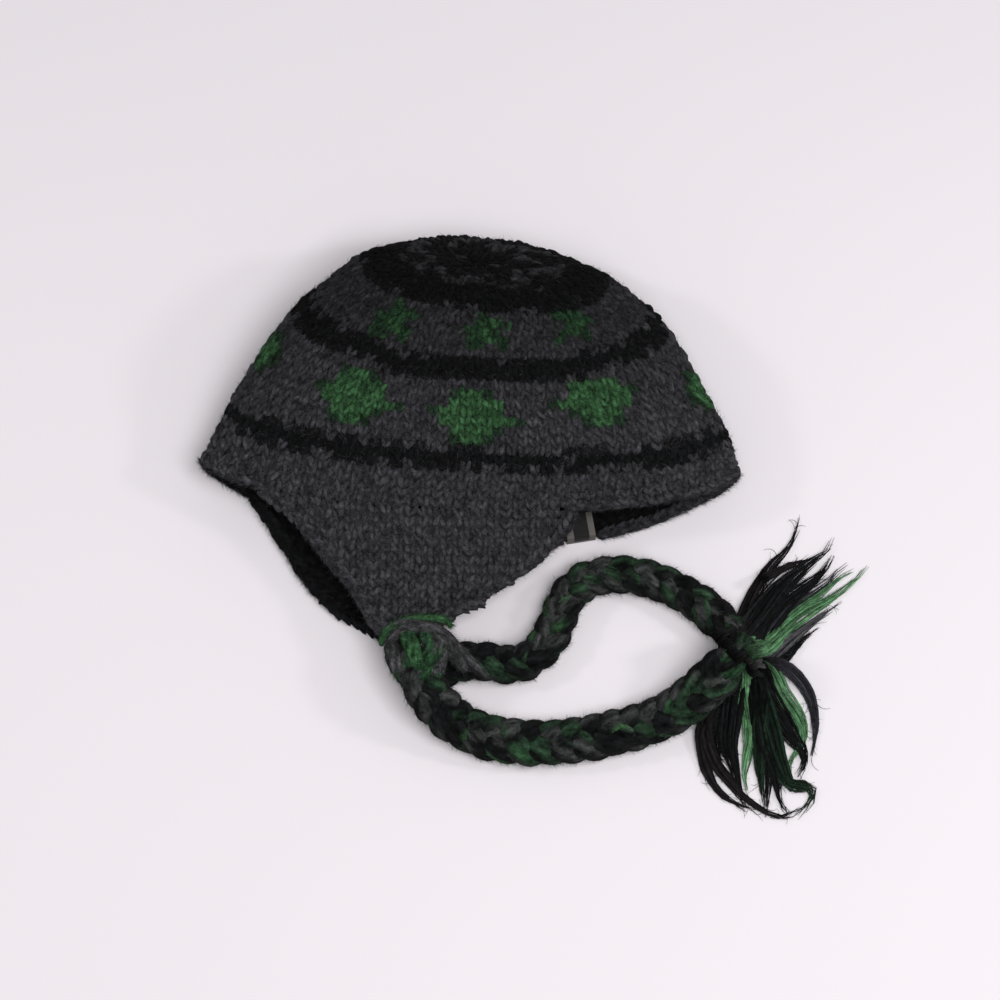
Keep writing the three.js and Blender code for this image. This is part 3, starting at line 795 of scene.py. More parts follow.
# The pattern, charted from the rim up over one repeat, as seen on the left half of the upper
# wall. G, m and g are bright, middle and dull green, and a dot is grey.
LOWER_DIAMOND = [
    "...gGGg....",
    "...GGGGg...",
    "..GGGGGGGg.",
    ".gGGGGGG...",
    "...GGGGG...",
    "...gGGg....",
]
OUTER_DIAMOND = [
    "...gGg.....",
    "...GGGg....",
    "..gGGGg....",
    "....gg.....",
]
UPPER_DIAMOND = [
    "...m.m..",
    "...mGm..",
    "..mGm...",
    "...mGm..",
    "...m....",
]
LOWER_DIAMOND_FROM = 7
UPPER_DIAMOND_FROM = 18
# How many rows higher a repeat's diamonds start, by its number from the top of the wall
DIAMOND_RISE = {1: 1, 2: 3, REPEATS - 2: 1, REPEATS - 1: 2}
# The black stripes: the share of black stitches in each row
STRIPES = {
    4: 0.72, 5: 0.95, 6: 0.35, 14: 0.85, 15: 0.97, 16: 0.75,
    23: 0.8, 24: 1.0, 25: 1.0, 26: 1.0, 27: 0.95,
}
BENT_ROWS = (12, 17)  # of the stripe that rises towards the hat's sides
BENT_STRIPE_FROM = 14
STRIPE_RISE = 1.4  # rows, at BEND_SHARE of the way round
BEND_SHARE = 0.17
TOP_FROM = 28
CENTRE_FROM = 32
LETTER_YARNS = {
    "b": "black", "G": "green", "m": "middle_green", "g": "dull_green", ".": "grey",
    "t": "top_grey",
}


def yarn_letter(row, share):
    """The chart's letter for a stitch, share being its place round the row from the top."""
    if row >= TOP_FROM:
        # Grey patches a few stitches wide, and black round the gather
        patch = math.sin(share * 43 + row * 1.3) + math.sin(share * 71 - row * 2.1)
        patch += random.uniform(-0.7, 0.7)
        return "t" if patch > (0.1 if row < CENTRE_FROM else 1.1) else "b"
    stripe_row = row
    if BENT_ROWS[0] <= row <= BENT_ROWS[1] + 2:
        off_top = min(share, 1 - share)
        stripe_row = row - round(STRIPE_RISE * min(1, off_top / BEND_SHARE) ** 2)
        if stripe_row < BENT_STRIPE_FROM <= row:
            return "."
    if random.random() < STRIPES.get(stripe_row, 0):
        return "b"
    repeat = int(share * REPEATS + 0.5) % REPEATS
    rise = DIAMOND_RISE.get(repeat, 0)
    outer = repeat in (2, REPEATS - 2)
    charts = [(OUTER_DIAMOND if outer else LOWER_DIAMOND, LOWER_DIAMOND_FROM + rise)]
    if not outer:
        charts.append((UPPER_DIAMOND, UPPER_DIAMOND_FROM + rise // 2))
    for chart, start in charts:
        if start <= row < start + len(chart):
            line = chart[row - start]
            # share grows towards the left, so the line is read from its end.
            if repeat <= REPEATS // 2:
                line = line[::-1]
            place = (share * REPEATS + 0.5) % 1
            return line[min(int(place * len(line)), len(line) - 1)]
    return "."


def dyes_of(row, shares):
    """The colours of a row's yarn at shares of the way round it. It is darker towards the top."""
    depth = np.interp(row / ROWS, [0, 0.25, 0.42, 0.55, 0.8], [1, 0.9, 0.75, 0.6, 0.55])
    return depth * np.array([YARNS[LETTER_YARNS[yarn_letter(row, share)]] for share in shares])


def crown_stitches():
    """The crown's knit, in an upper and a lower piece."""
    upper, lower = Gathered(), Gathered()
    count = RIM_STITCHES
    for row in range(ROWS):
        up = (row + 0.5) / ROWS
        girth = girth_of(up)
        if up > DECREASE_FROM:
            count = min(count, max(16, REPEATS * round(girth / GAUGE / REPEATS)))
        turns, width = evenly_round(up, count)
        point, side, up_way, out = crown_frame(np.full(count, up), turns)
        step = 0.5 / ROWS
        above = crown_point(np.full(count, min(up + step, 0.99)), turns)
        below = crown_point(np.full(count, up - step), turns)
        height = np.linalg.norm(above - below, axis=1)
        colours = dyes_of(row, np.arange(count) / count)
        point = point - out * STITCH_SINK
        over = np.sin(turns) > -0.05
        for gathered, chosen in ((upper, over), (lower, ~over)):
            knit_stitches(
                gathered, point[chosen], side[chosen], up_way[chosen], out[chosen],
                width, height[chosen], colours[chosen],
            )
    upper.piece("crown_knit_upper", knit_wool, "knit")
    lower.piece("crown_knit_lower", knit_wool, "knit")


def crown_fuzz(name, count, halo_share):
    """Wool that stands off the knit all over and blurs its stitches."""
    gathered = Gathered()
    girths = np.array([girth_of((row + 0.5) / ROWS) for row in range(ROWS)])
    for row, part in enumerate(np.round(count * girths / girths.sum()).astype(int)):
        # Most of it is put on the upper wall, where it shows.
        shares = random.random(part)
        moved = (random.random(part) < 0.85) & (np.abs(shares - 0.5) < 0.23)
        shares = np.where(moved, (shares + 0.5) % 1, shares)
        turns, _ = evenly_round((row + 0.5) / ROWS, 361)
        turn = np.interp(shares, np.arange(361) / 361, turns)
        up = (row + random.random(part)) / ROWS
        point, side, up_way, out = crown_frame(np.clip(up, 0.004, 0.97), turn)
        heading = random.random(part) * 2 * np.pi
        way = side * np.cos(heading)[:, None] + up_way * np.sin(heading)[:, None]
        start = point - out * random.uniform(0, 0.0012, (part, 1))
        add_fuzz(gathered, start, way, out, dyes_of(row, shares), halo_share)
    gathered.piece(name, fuzz_wool, "knit")


def grid_piece(name, columns, rows):
    """A flat grid from 0 to 1 both ways, ready to be shaped."""
    deselect_all()
    bpy.ops.mesh.primitive_grid_add(x_subdivisions=columns, y_subdivisions=rows, size=1,
                                    location=(0.5, 0.5, 0))
    piece = bpy.context.object
    bpy.ops.object.transform_apply(location=True, rotation=False, scale=False)
    piece.name = name
    piece.data.name = name
    return piece


def points_of(piece):
    points = np.empty(len(piece.data.vertices) * 3)
    piece.data.vertices.foreach_get("co", points)
    return points.reshape(-1, 3)


def set_points(piece, points):
    piece.data.vertices.foreach_set("co", np.asarray(points).ravel())
    piece.data.update()


def paint(piece, colours):
    attribute = piece.data.color_attributes.new(name="yarn", type="FLOAT_COLOR", domain="POINT")
    rgba = np.ones((len(piece.data.vertices), 4), np.float32)
    rgba[:, :3] = colours
    attribute.data.foreach_set("color", rgba.ravel())


def finish_piece(piece, material, slot_name, *nodes):
    piece.data.materials.clear()
    piece.data.materials.append(material)
    piece.data.polygons.foreach_set("use_smooth", np.ones(len(piece.data.polygons), bool))
    piece.data.update()
    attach(piece, "root")
    if nodes:
        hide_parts(*nodes)


def apply_solidify(piece, thickness):
    """Gives the shell its thickness, on its inner side."""
    solidify = piece.modifiers.new("wall", "SOLIDIFY")
    solidify.thickness = thickness
    solidify.offset = -1
    solidify.use_even_offset = False
    bpy.context.view_layer.objects.active = piece
    bpy.ops.object.modifier_apply(modifier=solidify.name)


def crown_wall():
    """The wall behind the stitches: outside, the yarn's colours painted darker as the shade in the
    gaps; black inside.
    """
    columns, rows = 120, 48
    piece = grid_piece("crown_wall", columns, rows)
    flat = points_of(piece)
    up = flat[:, 1] * 0.975
    turn = np.empty(len(up))
    dyes = np.empty((len(up), 3))
    for level in np.unique(up):
        chosen = up == level
        shares = flat[chosen, 0]
        turns, _ = evenly_round(level, 361)
        turn[chosen] = np.interp(shares, np.arange(362) / 361, np.append(turns, turns[0] + 2 * np.pi))
        dyes[chosen] = dyes_of(min(ROWS - 1, int(level * ROWS)), shares % 1)
    point, _, _, out = crown_frame(up, turn)
    point = point - out * WALL_SINK
    # The last column meets the first, so their points are made the same.
    first, last = flat[:, 0] < 1e-6, flat[:, 0] > 1 - 1e-6
    point[last] = point[first]
    set_points(piece, point)
    # Painted shade: the outer face takes the yarn's colours darkened, for the shade in the gaps
    # between stitches.
    paint(piece, dyes * GROOVE_PAINTED_SHADE)
    bpy.ops.object.mode_set(mode="EDIT")
    bpy.ops.mesh.select_all(action="SELECT")
    bpy.ops.mesh.remove_doubles(threshold=0.00002)
    bpy.ops.mesh.select_all(action="DESELECT")
    bpy.ops.object.mode_set(mode="OBJECT")
    close_gather(piece, crown_point(0.999, 0))
    outer_count = len(piece.data.vertices)
    apply_solidify(piece, KNIT_THICKNESS - WALL_SINK)
    yarn = piece.data.color_attributes["yarn"]
    rgba = np.empty(len(piece.data.vertices) * 4, np.float32)
    yarn.data.foreach_get("color", rgba)
    rgba = rgba.reshape(-1, 4)
    rgba[outer_count:, :3] = YARNS["lining"]
    yarn.data.foreach_set("color", rgba.ravel())
    finish_piece(piece, knit_wool, "knit", "crown")


def close_gather(piece, gather):
    """Fills the small hole at the crown's gather."""
    mesh = piece.data
    deselect_all()
    piece.select_set(True)
    bpy.context.view_layer.objects.active = piece
    bpy.ops.object.mode_set(mode="EDIT")
    bpy.ops.mesh.select_mode(type="EDGE")
    bpy.ops.mesh.select_non_manifold(extend=False)
    bpy.ops.object.mode_set(mode="OBJECT")
    centre = Vector(gather)
    for edge in mesh.edges:
        middle = (mesh.vertices[edge.vertices[0]].co + mesh.vertices[edge.vertices[1]].co) / 2
        edge.select = edge.select and (middle - centre).length < 0.03
    bpy.ops.object.mode_set(mode="EDIT")
    bpy.ops.mesh.edge_face_add()
    bpy.ops.mesh.select_all(action="SELECT")
    bpy.ops.mesh.normals_make_consistent(inside=False)
    bpy.ops.object.mode_set(mode="OBJECT")


def flap_wall(name, flap, node, top, bottom, dye):
    """A flap's shell. top and bottom are its upper and lower sides' depths under the outer face."""
    piece = grid_piece(name, 40, 24)
    flat = points_of(piece)
    down = np.clip(flat[:, 1], 0.0, 1.0) * 0.97
    across = 0.03 + 0.955 * flat[:, 0]
    surface = flap.point(down, across)
    surface[:, 2] += top
    set_points(piece, surface)
    bpy.ops.object.mode_set(mode="EDIT")
    bpy.ops.mesh.select_all(action="SELECT")
    bpy.ops.mesh.extrude_region_move(TRANSFORM_OT_translate={"value": (0, 0, bottom - top)})
    bpy.ops.mesh.select_all(action="SELECT")
    bpy.ops.mesh.normals_make_consistent(inside=False)
    bpy.ops.object.mode_set(mode="OBJECT")
    # Painted shade: for the near flap, dye is grey darkened for the shade in the gaps between its
    # stitches.
    paint(piece, np.array(dye))
    finish_piece(piece, knit_wool, "knit", node)


def surface_tree(flap, left=0.0, right=1.0):
    """The flap's outer face between two shares across, for finding heights over the floor."""
    down, across = np.meshgrid(np.linspace(0, 1, 40), np.linspace(left, right, 60), indexing="ij")
    points = flap.point(down, across).reshape(-1, 3)
    quads = []
    for i in range(39):
        for j in range(59):
            a = i * 60 + j
            quads.append((a, a + 1, a + 61, a + 60))
    return BVHTree.FromPolygons([Vector(p) for p in points], quads)


def near_flap_stitches():
    """Columns that run on from the crown, cut off by the flap's slanting edges."""
    gathered = Gathered()
    tree = surface_tree(near_flap, 0.035, 0.95)
    turns, width = evenly_round(0.5 / ROWS, RIM_STITCHES)
    places, outs = [], []
    for turn in turns:
        turn = (turn + math.pi) % (2 * math.pi) - math.pi
        if not near_flap.start - 0.25 < turn < near_flap.end + 0.2:
            continue
        rim = crown_point(0, turn)
        for row in range(-1, 22):
            spot = Vector((rim[0], rim[1] - (row + 0.4) * FLAP_ROW, 0.2))
            hit, normal, _, _ = tree.ray_cast(spot, Vector((0, 0, -1)))
            if hit is None:
                continue
            places.append(hit)
            outs.append(normal if normal.z > 0 else -normal)
    point, out = np.array(places), np.array(outs)
    up = unit(np.array([0, 1, 0]) - out * out[:, 1:2])
    side = np.cross(up, out)
    colours = np.tile(YARNS["grey"], (len(point), 1))
    knit_stitches(gathered, point - out * STITCH_SINK, side, up, out, width, FLAP_ROW, colours)
    count = len(point) * 20
    chosen = random.integers(0, len(point), count)
    spread = random.uniform(-0.5, 0.5, (count, 2)) * (width, FLAP_ROW)
    start = point[chosen] + side[chosen] * spread[:, :1] + up[chosen] * spread[:, 1:]
    start = start - out[chosen] * random.uniform(0, 0.0012, (count, 1))
    heading = random.random(count) * 2 * np.pi
    way = side[chosen] * np.cos(heading)[:, None] + up[chosen] * np.sin(heading)[:, None]
    fuzz = Gathered()
    add_fuzz(fuzz, start, way, out[chosen], colours[chosen], 0.08)
    fuzz.piece("ear_flap_near_fuzz", fuzz_wool, "knit")
    gathered.piece("ear_flap_near_knit", knit_wool, "knit")


def edge_chain(gathered, path, out, pitch, colour, thick=0.0042):
    """A chain of sideways stitches along an edge: path is the edge, out its way off the fabric."""
    run = run_along(path)
    count = max(3, round(run[-1] / pitch))
    spots = (np.arange(count) + 0.5) / count * run[-1]
    place = at_runs(spots, run, path)
    normal = unit(at_runs(spots, run, out))
    step = 0.001
    way = unit(at_runs(spots + step, run, path) - at_runs(spots - step, run, path))
    normal = unit(normal - way * np.sum(normal * way, axis=1, keepdims=True))
    side = np.cross(way, normal)
    colours = np.tile(colour, (count, 1))
    knit_stitches(gathered, place, side, way, normal, thick * 1.35, run[-1] / count, colours,
                  tilt=0.3, thick=thick * 0.9)
    chosen = random.integers(0, count, count * 26)
    part = len(chosen)
    heading = random.normal(0, 0.8, part)
    hair_way = way[chosen] * np.cos(heading)[:, None] + side[chosen] * np.sin(heading)[:, None]
    start = place[chosen] + side[chosen] * random.uniform(-0.5, 0.5, (part, 1)) * thick
    start = start + way[chosen] * random.uniform(-0.5, 0.5, (part, 1)) * pitch
    add_fuzz(gathered, start + normal[chosen] * thick * 0.4, hair_way, normal[chosen],
             colours[chosen], 0.12)


def rim_edges():
    """The cast-off edge of the crown, left out where the label covers it."""
    gathered = Gathered()
    for start, end, inner in ((-86, -74.8, "edge"), (-66.4, 74, "edge"), (137, 222, "black")):
        turns = np.radians(np.linspace(start, end, 160))
        point, _, up_way, out = crown_frame(np.full(len(turns), 0.004), turns)
        for depth, forward, facing, dye in (
            (0.0012, 0.0006, 0.8, "grey"),
            (0.0040, 0.0014, 0.0, inner),
            (0.0064, 0.0006, -0.8, inner),
        ):
            path = point - out * depth - up_way * forward
            edge_chain(gathered, path, out * facing - up_way, STITCH_PITCH, YARNS[dye])
    gathered.piece("crown_rim_edge", knit_wool, "knit")


def flap_edges(flap, name, dyes, depths, inset):
    """The cast-off edge round a flap: down its left side, round the tip and up its right side.

    depths are how far over the outer face its chains lie, and inset how far in from its edge.
    """
    gathered = Gathered()
    steps = np.linspace(0.02, 1, 50)
    down = np.concatenate([steps, np.ones(24), steps[::-1]])
    across = np.concatenate([np.zeros(50), np.linspace(0, 1, 26)[1:-1], np.ones(50)])
    path = flap.point(down, across)
    inner = flap.point(down * 0.985, 0.5 + (across - 0.5) * 0.96)
    outward = path - inner
    outward[:, 2] = 0
    outward = unit(outward)
    for depth, dye in zip(depths, dyes):
        edge = path - outward * inset
        edge[:, 2] += depth
        facing = outward.copy()
        facing[:, 2] = 0.8 if depth == max(depths) else -0.2
        edge_chain(gathered, edge, facing, STITCH_PITCH, YARNS[dye], thick=0.0050)
    gathered.piece(name, knit_wool, "knit")


def purl_bumps(gathered, point, side, up, out, width, height, dye):
    """The knit's other face: short arcs of yarn that lie across the columns."""
    count = len(point)
    corners = len(leg_points)
    wobble = random.normal(0, 1, (count, 4))
    length = np.broadcast_to(width, count) * (1.15 + 0.1 * wobble[:, 0])
    radius = YARN / 2 * (0.95 + 0.1 * wobble[:, 1])
    bow = 0.35 * np.broadcast_to(height, count)
    run = leg_points[:, 2]
    s = run[None] * length[:, None] / 2
    u = leg_points[None, :, 0] * radius[:, None] - (run**2)[None] * bow[:, None]
    n = leg_points[None, :, 1] * radius[:, None] * 0.8 - 0.001 * (run**2)[None]
    n = n + 0.0004 * wobble[:, 2][:, None]
    places = (
        point[:, None] + side[:, None] * s[..., None]
        + up[:, None] * u[..., None] + out[:, None] * n[..., None]
    )
    tint = np.maximum(0.3, 1 + 0.25 * random.normal(0, 1, (count, corners)))
    gathered.add(places, leg_faces, (np.array(dye) * tint[..., None]), leg_uvs)


def mouth_lining():
    """The purl side of the lower wall, where the open mouth shows it."""
    gathered = Gathered()
    for row in range(LINING_ROWS):
        up = (row + 0.3) / ROWS
        turns, width = evenly_round(up, RIM_STITCHES, 0.5 * (row % 2))
        turns = turns % (2 * np.pi)
        turns = turns[np.sin(turns) < 0.12]
        point, side, up_way, out = crown_frame(np.full(len(turns), up), turns)
        purl_bumps(gathered, point - out * PURL_DEPTH, side, up_way, -out, width, PURL_HEIGHT,
                   YARNS["black"])
    gathered.piece("mouth_lining_knit", knit_wool, "knit")


def far_flap_lining():
    """The purl side of the lower flap, which lies upwards."""
    gathered = Gathered()
    tree = surface_tree(far_flap)
    turns, width = evenly_round(0.5 / ROWS, RIM_STITCHES)
    places = []
    for turn in turns:
        turn = turn % (2 * math.pi)
        if not far_flap.end - 0.25 < turn < far_flap.start + 0.25:
            continue
        rim = crown_point(0, turn)
        for row in range(-4, 24):
            shift = width * 0.5 * (row % 2)
            spot = Vector((rim[0] + shift, rim[1] - (row + 0.4) * FLAP_ROW, 0.2))
            hit, _, _, _ = tree.ray_cast(spot, Vector((0, 0, -1)))
            if hit is not None:
                places.append(hit)
    point = np.array(places)
    count = len(point)
    point[:, 2] += PURL_DEPTH
    ways = [np.tile(way, (count, 1)) for way in ((1.0, 0, 0), (0, 1.0, 0), (0, 0, 1.0))]
    purl_bumps(gathered, point, *ways, width, PURL_HEIGHT, YARNS["black"])
    gathered.piece("ear_flap_far_lining_knit", knit_wool, "knit")


def label_piece():
    """Folded tape over the lower rim, with grey borders and a bare dark middle."""
    piece = grid_piece("label_tape", 30, 40)
    flat = points_of(piece)
    turn = math.radians(LABEL_AT)
    step = math.radians(3)
    origin = crown_point(0, turn)
    run = crown_point(0, turn + step) - crown_point(0, turn - step)
    across_way = unit(np.array([run[0], run[1], 0]))
    inward = np.array([-across_way[1], across_way[0], 0])
    low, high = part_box("label")
    top = high[2]
    front, bend = LABEL_FRONT, LABEL_BEND
    drop = top - low[2] - bend
    arc = math.pi / 2 * bend
    whole = drop + arc + LABEL_DEPTH + front - bend
    along_tape = flat[:, 1] * whole
    turned = np.clip((along_tape - drop) / arc, 0, 1) * math.pi / 2
    y = -front + bend * (1 - np.cos(turned)) + np.maximum(0, along_tape - drop - arc)
    z = low[2] + np.minimum(along_tape, drop) + bend * np.sin(turned)
    side = (flat[:, 0] - 0.5) * LABEL_WIDTH
    z = z + 0.0005 * np.cos(side / LABEL_WIDTH * 2.6) * flat[:, 1]
    points = origin + across_way * side[:, None] + inward * y[:, None]
    points[:, 2] = z - 0.0002
    set_points(piece, points)
    pale, dark, line = (YARNS[name] for name in ("tape", "tape_middle", "tape_line"))
    left, right = -LABEL_WIDTH / 2 + 0.0036, LABEL_WIDTH / 2 - 0.0030
    bottom = drop * 0.35
    middle = (side > left) & (side < right) & (along_tape > bottom)
    seam = 0.0006
    core = (side > left + seam) & (side < right - seam) & (along_tape > bottom + seam)
    colours = np.where(core[:, None], dark, np.where(middle[:, None], line, pale))
    paint(piece, colours)
    apply_solidify(piece, LABEL_TAPE)
    deselect_all()
    piece.select_set(True)
    bpy.ops.object.mode_set(mode="EDIT")
    bpy.ops.mesh.select_all(action="SELECT")
    bpy.ops.mesh.normals_make_consistent(inside=False)
    bpy.ops.object.mode_set(mode="OBJECT")
    layer = piece.data.uv_layers.active
    corners = np.empty(len(piece.data.loops) * 2, np.float32)
    layer.data.foreach_get("uv", corners)
    layer.data.foreach_set("uv", corners * 15)
    finish_piece(piece, label_tape, "label_cloth", "label")


add_surroundings()
crown_wall()
crown_stitches()
crown_fuzz("crown_fuzz_a", 20000, 0.04)
crown_fuzz("crown_fuzz_b", 20000, 0.04)
rim_edges()
mouth_lining()
# The near flap's wall is painted grey, darkened as painted shade of the gaps between stitches.
flap_wall("ear_flap_near_wall", near_flap, "ear_flap_near", -WALL_SINK, -KNIT_THICKNESS,
          np.array(YARNS["grey"]) * GROOVE_PAINTED_SHADE)
flap_wall("ear_flap_far_wall", far_flap, "ear_flap_far", KNIT_THICKNESS, 0.0005, YARNS["lining"])
near_flap_stitches()
flap_edges(near_flap, "ear_flap_near_edge", ("grey", "edge"), (-0.0016, -0.0048), 0.0026)
flap_edges(far_flap, "ear_flap_far_edge", ("black", "black"), (0.0058, 0.0022), 0.0006)
far_flap_lining()
label_piece()


# Ties

def streaked(count, rings, palette, streak):
    """Colours along count yarns that change from dye to dye, streak rings apart or so."""
    names, weights = zip(*palette)
    dyes = np.array([YARNS[name] for name in names])
    shares = np.array(weights) / sum(weights)
    colours = np.empty((count, rings, 3))
    for yarn in range(count):
        stops = np.cumsum(random.uniform(0.5, 1.6, rings) * streak)
        stops = np.concatenate([[-streak], stops[: np.searchsorted(stops, rings + streak) + 1]])
        picks = dyes[random.choice(len(dyes), len(stops), p=shares)]
        at = np.arange(rings)
        index = np.clip(np.searchsorted(stops, at, side="right") - 1, 0, len(stops) - 2)
        t = np.clip((at - stops[index]) / (stops[index + 1] - stops[index]), 0, 1)
        t = np.clip((t - 0.7) / 0.3, 0, 1)[:, None]
        colours[yarn] = picks[index] * (1 - t) + picks[index + 1] * t
    return colours


def roving(gathered, hairs, centre, half_width, half_height, over, palette, twist, yarns, streak):
    """A thick soft strand of several yarns felted together, and the hairs on it."""
    rings, sides = len(centre), ROVING_SIDES
    way = unit(np.gradient(centre, axis=0))
    side = unit(np.cross(way, over))
    upward = np.cross(side, way)
    run = run_along(centre)
    turns = 2 * np.pi * np.arange(sides) / sides
    turned = turns[None] + twist * run[:, None]
    lump = 0.5 + 0.5 * np.cos(yarns * turned)
    rough = wandering(sides, rings, 4).T * 0.05
    swell = 0.92 + 0.1 * lump**0.5 + rough
    normal = (
        side[:, None] * np.cos(turns)[None, :, None]
        + upward[:, None] * np.sin(turns)[None, :, None]
    )
    ring = (
        side[:, None] * (np.cos(turns)[None] * swell * half_width[:, None])[..., None]
        + upward[:, None] * (np.sin(turns)[None] * swell * half_height[:, None])[..., None]
    )
    surface = centre[:, None] + ring
    ends = np.stack([
        centre[0] - way[0] * half_height[0] * 0.6, centre[-1] + way[-1] * half_height[-1] * 0.6,
    ])
    dyes = streaked(yarns, rings, palette, streak)
    which = np.floor((turned / (2 * np.pi) * yarns + 0.5) % yarns).astype(int) % yarns
    # Painted shade: each yarn is lighter on its lump and darker where the yarns meet, with a random
    # tone on top.
    shade = (0.6 + 0.45 * lump) * (1 + 0.3 * random.normal(0, 1, lump.shape))
    # Painted shade: the strand's own edges lie deep, so they are painted darker than its crest.
    shade = shade * (0.72 + 0.34 * np.abs(np.sin(turns))[None])
    colours = dyes[which, np.arange(rings)[:, None]] * np.maximum(shade, 0.3)[..., None]
    points = np.concatenate([surface.reshape(-1, 3), ends])
    flat_colours = np.concatenate([colours.reshape(-1, 3), colours[[0, -1], 0]])
    fibre_runs = np.stack(
        [np.broadcast_to(run[:, None] * 1000, turned.shape), turned / np.pi], -1
    ).reshape(-1, 2)
    uvs = np.concatenate([fibre_runs, fibre_runs[[0, -1]]])
    gathered.add(points[None], tube_faces(rings, sides), flat_colours[None], uvs)
    count = int(run[-1] * 1000 * (TUFTS_PER_MM + HAIRS_PER_MM))
    # Each tuft starts between two neighbouring points of the surface.
    i, j = random.integers(0, rings - 1, count), random.integers(0, sides, count)
    share = random.random((count, 2))
    next_j = (j + 1) % sides
    start = surface[i, j] * (1 - share[:, 1:]) + surface[i, next_j] * share[:, 1:]
    start = start + (surface[i + 1, j] - surface[i, j]) * share[:, :1]
    out = unit(normal[i, j] * (1 - share[:, 1:]) + normal[i, next_j] * share[:, 1:])
    heading = random.normal(0.25, 0.45, count)
    across = np.cross(out, way[i])
    hair_way = way[i] * np.cos(heading)[:, None] + across * np.sin(heading)[:, None]
    add_fuzz(hairs, start, hair_way, out, colours[i, j],
             HAIRS_PER_MM / (TUFTS_PER_MM + HAIRS_PER_MM))


def braid(name, path, width, node, length, palette, start_share):
    """Three soft strands plaited along the path."""
    gathered, hairs = Gathered(), Gathered()
    run = np.linspace(0, length, len(path))
    way = unit(np.gradient(path, axis=0))
    aside = unit(np.cross(way, np.array([0, 0, 1.0])))
    over = np.cross(aside, way)
    grow = np.interp(run, [0, 0.03, length - 0.022, length], [start_share, 1, 1, 0.5])
    for strand in range(3):
        phase = 2 * np.pi * (run / PLAIT_PERIOD + strand / 3)
        half_width = width * 0.31 * grow * (1 + 0.06 * wandering(1, len(run), 12)[0])
        reach = width / 2 * grow - half_width
        centre = path + aside * (reach * np.sin(phase))[:, None]
        centre = centre + over * (PLAIT_LIFT * np.sin(2 * phase))[:, None]
        half_height = (TIE_THICKNESS / 2 - PLAIT_LIFT) * (0.5 + 0.5 * grow)
        roving(gathered, hairs, centre, half_width, half_height, over, palette,
               twist=55.0, yarns=7, streak=7)
    piece, fuzz = body_and_fuzz(name, gathered, hairs, "_hairs", braid_wool, "braid_yarn", node)


# The yarns that are drawn through each flap's tip, in millimetres: dye, half thickness,
# and the places that each one passes
NEAR_ROOT_YARNS = [
    ["green", 2.1, [[-45, -116, 25], [-43, -111, 28], [-37, -107, 31], [-30, -105, 33],
                    [-20, -104.5, 33], [-13, -104.5, 32], [-9, -107, 29]]],
    ["lock_grey", 3.0, [[-42, -116, 26], [-36, -111, 31], [-28, -109, 33], [-20, -109, 33],
                        [-13, -112, 31], [-6, -118, 26], [2, -124, 20], [9, -129, 15]]],
    ["root_grey", 3.4, [[-22, -111, 32], [-14, -115, 31], [-8, -121, 27], [-2, -128, 21]]],
    ["root_grey", 4.2, [[-41, -116, 27], [-39, -120, 29], [-37, -127, 29], [-31, -137, 29]]],
    ["green", 4.2, [[-33, -111, 31], [-30, -117, 33], [-27, -125, 34], [-22, -134, 33]]],
    ["middle_green", 4.0, [[-24, -111, 32], [-20, -117, 33], [-21, -126, 33], [-25, -137, 33]]],
    ["lock_grey", 3.8, [[-16, -112, 31], [-14, -119, 31], [-15, -127, 31], [-18, -137, 31]]],
]
FAR_ROOT_YARNS = [
    ["black", 2.6, [[-44, -104, 11], [-42, -108, 12], [-38, -113, 11], [-35, -119, 10]]],
    ["root_grey", 2.6, [[-38, -103, 13], [-37, -108, 14], [-35, -113, 13], [-33, -120, 12]]],
    ["dull_green", 2.6, [[-31, -103, 13], [-31, -108, 14], [-32, -113, 13], [-31, -120, 12]]],
    ["black", 2.6, [[-25, -104, 11], [-27, -109, 12], [-30, -114, 11], [-29, -120, 10]]],
]


def root_yarns(name, table, node):
    """The knot of yarns at a tie's root."""
    gathered, hairs = Gathered(), Gathered()
    for dye, half, places in table:
        path, _ = smooth_curve(np.array(places) / 1000, 26)
        ends = np.interp(np.linspace(0, 1, 27), [0, 0.12, 0.88, 1], [0.55, 1, 1, 0.55])
        thick = half / 1000 * ends * (1 + 0.06 * wandering(1, 27, 6)[0])
        over = np.tile([0.0, -0.2, 1.0], (27, 1))
        palette = ((dye, 6), ("lock_grey", 1), ("middle_green", 2))
        roving(gathered, hairs, path, thick, thick * 0.95, over, palette,
               twist=120.0, yarns=5, streak=9)
    return body_and_fuzz(name, gathered, hairs, "_hairs", braid_wool, "braid_yarn", node)


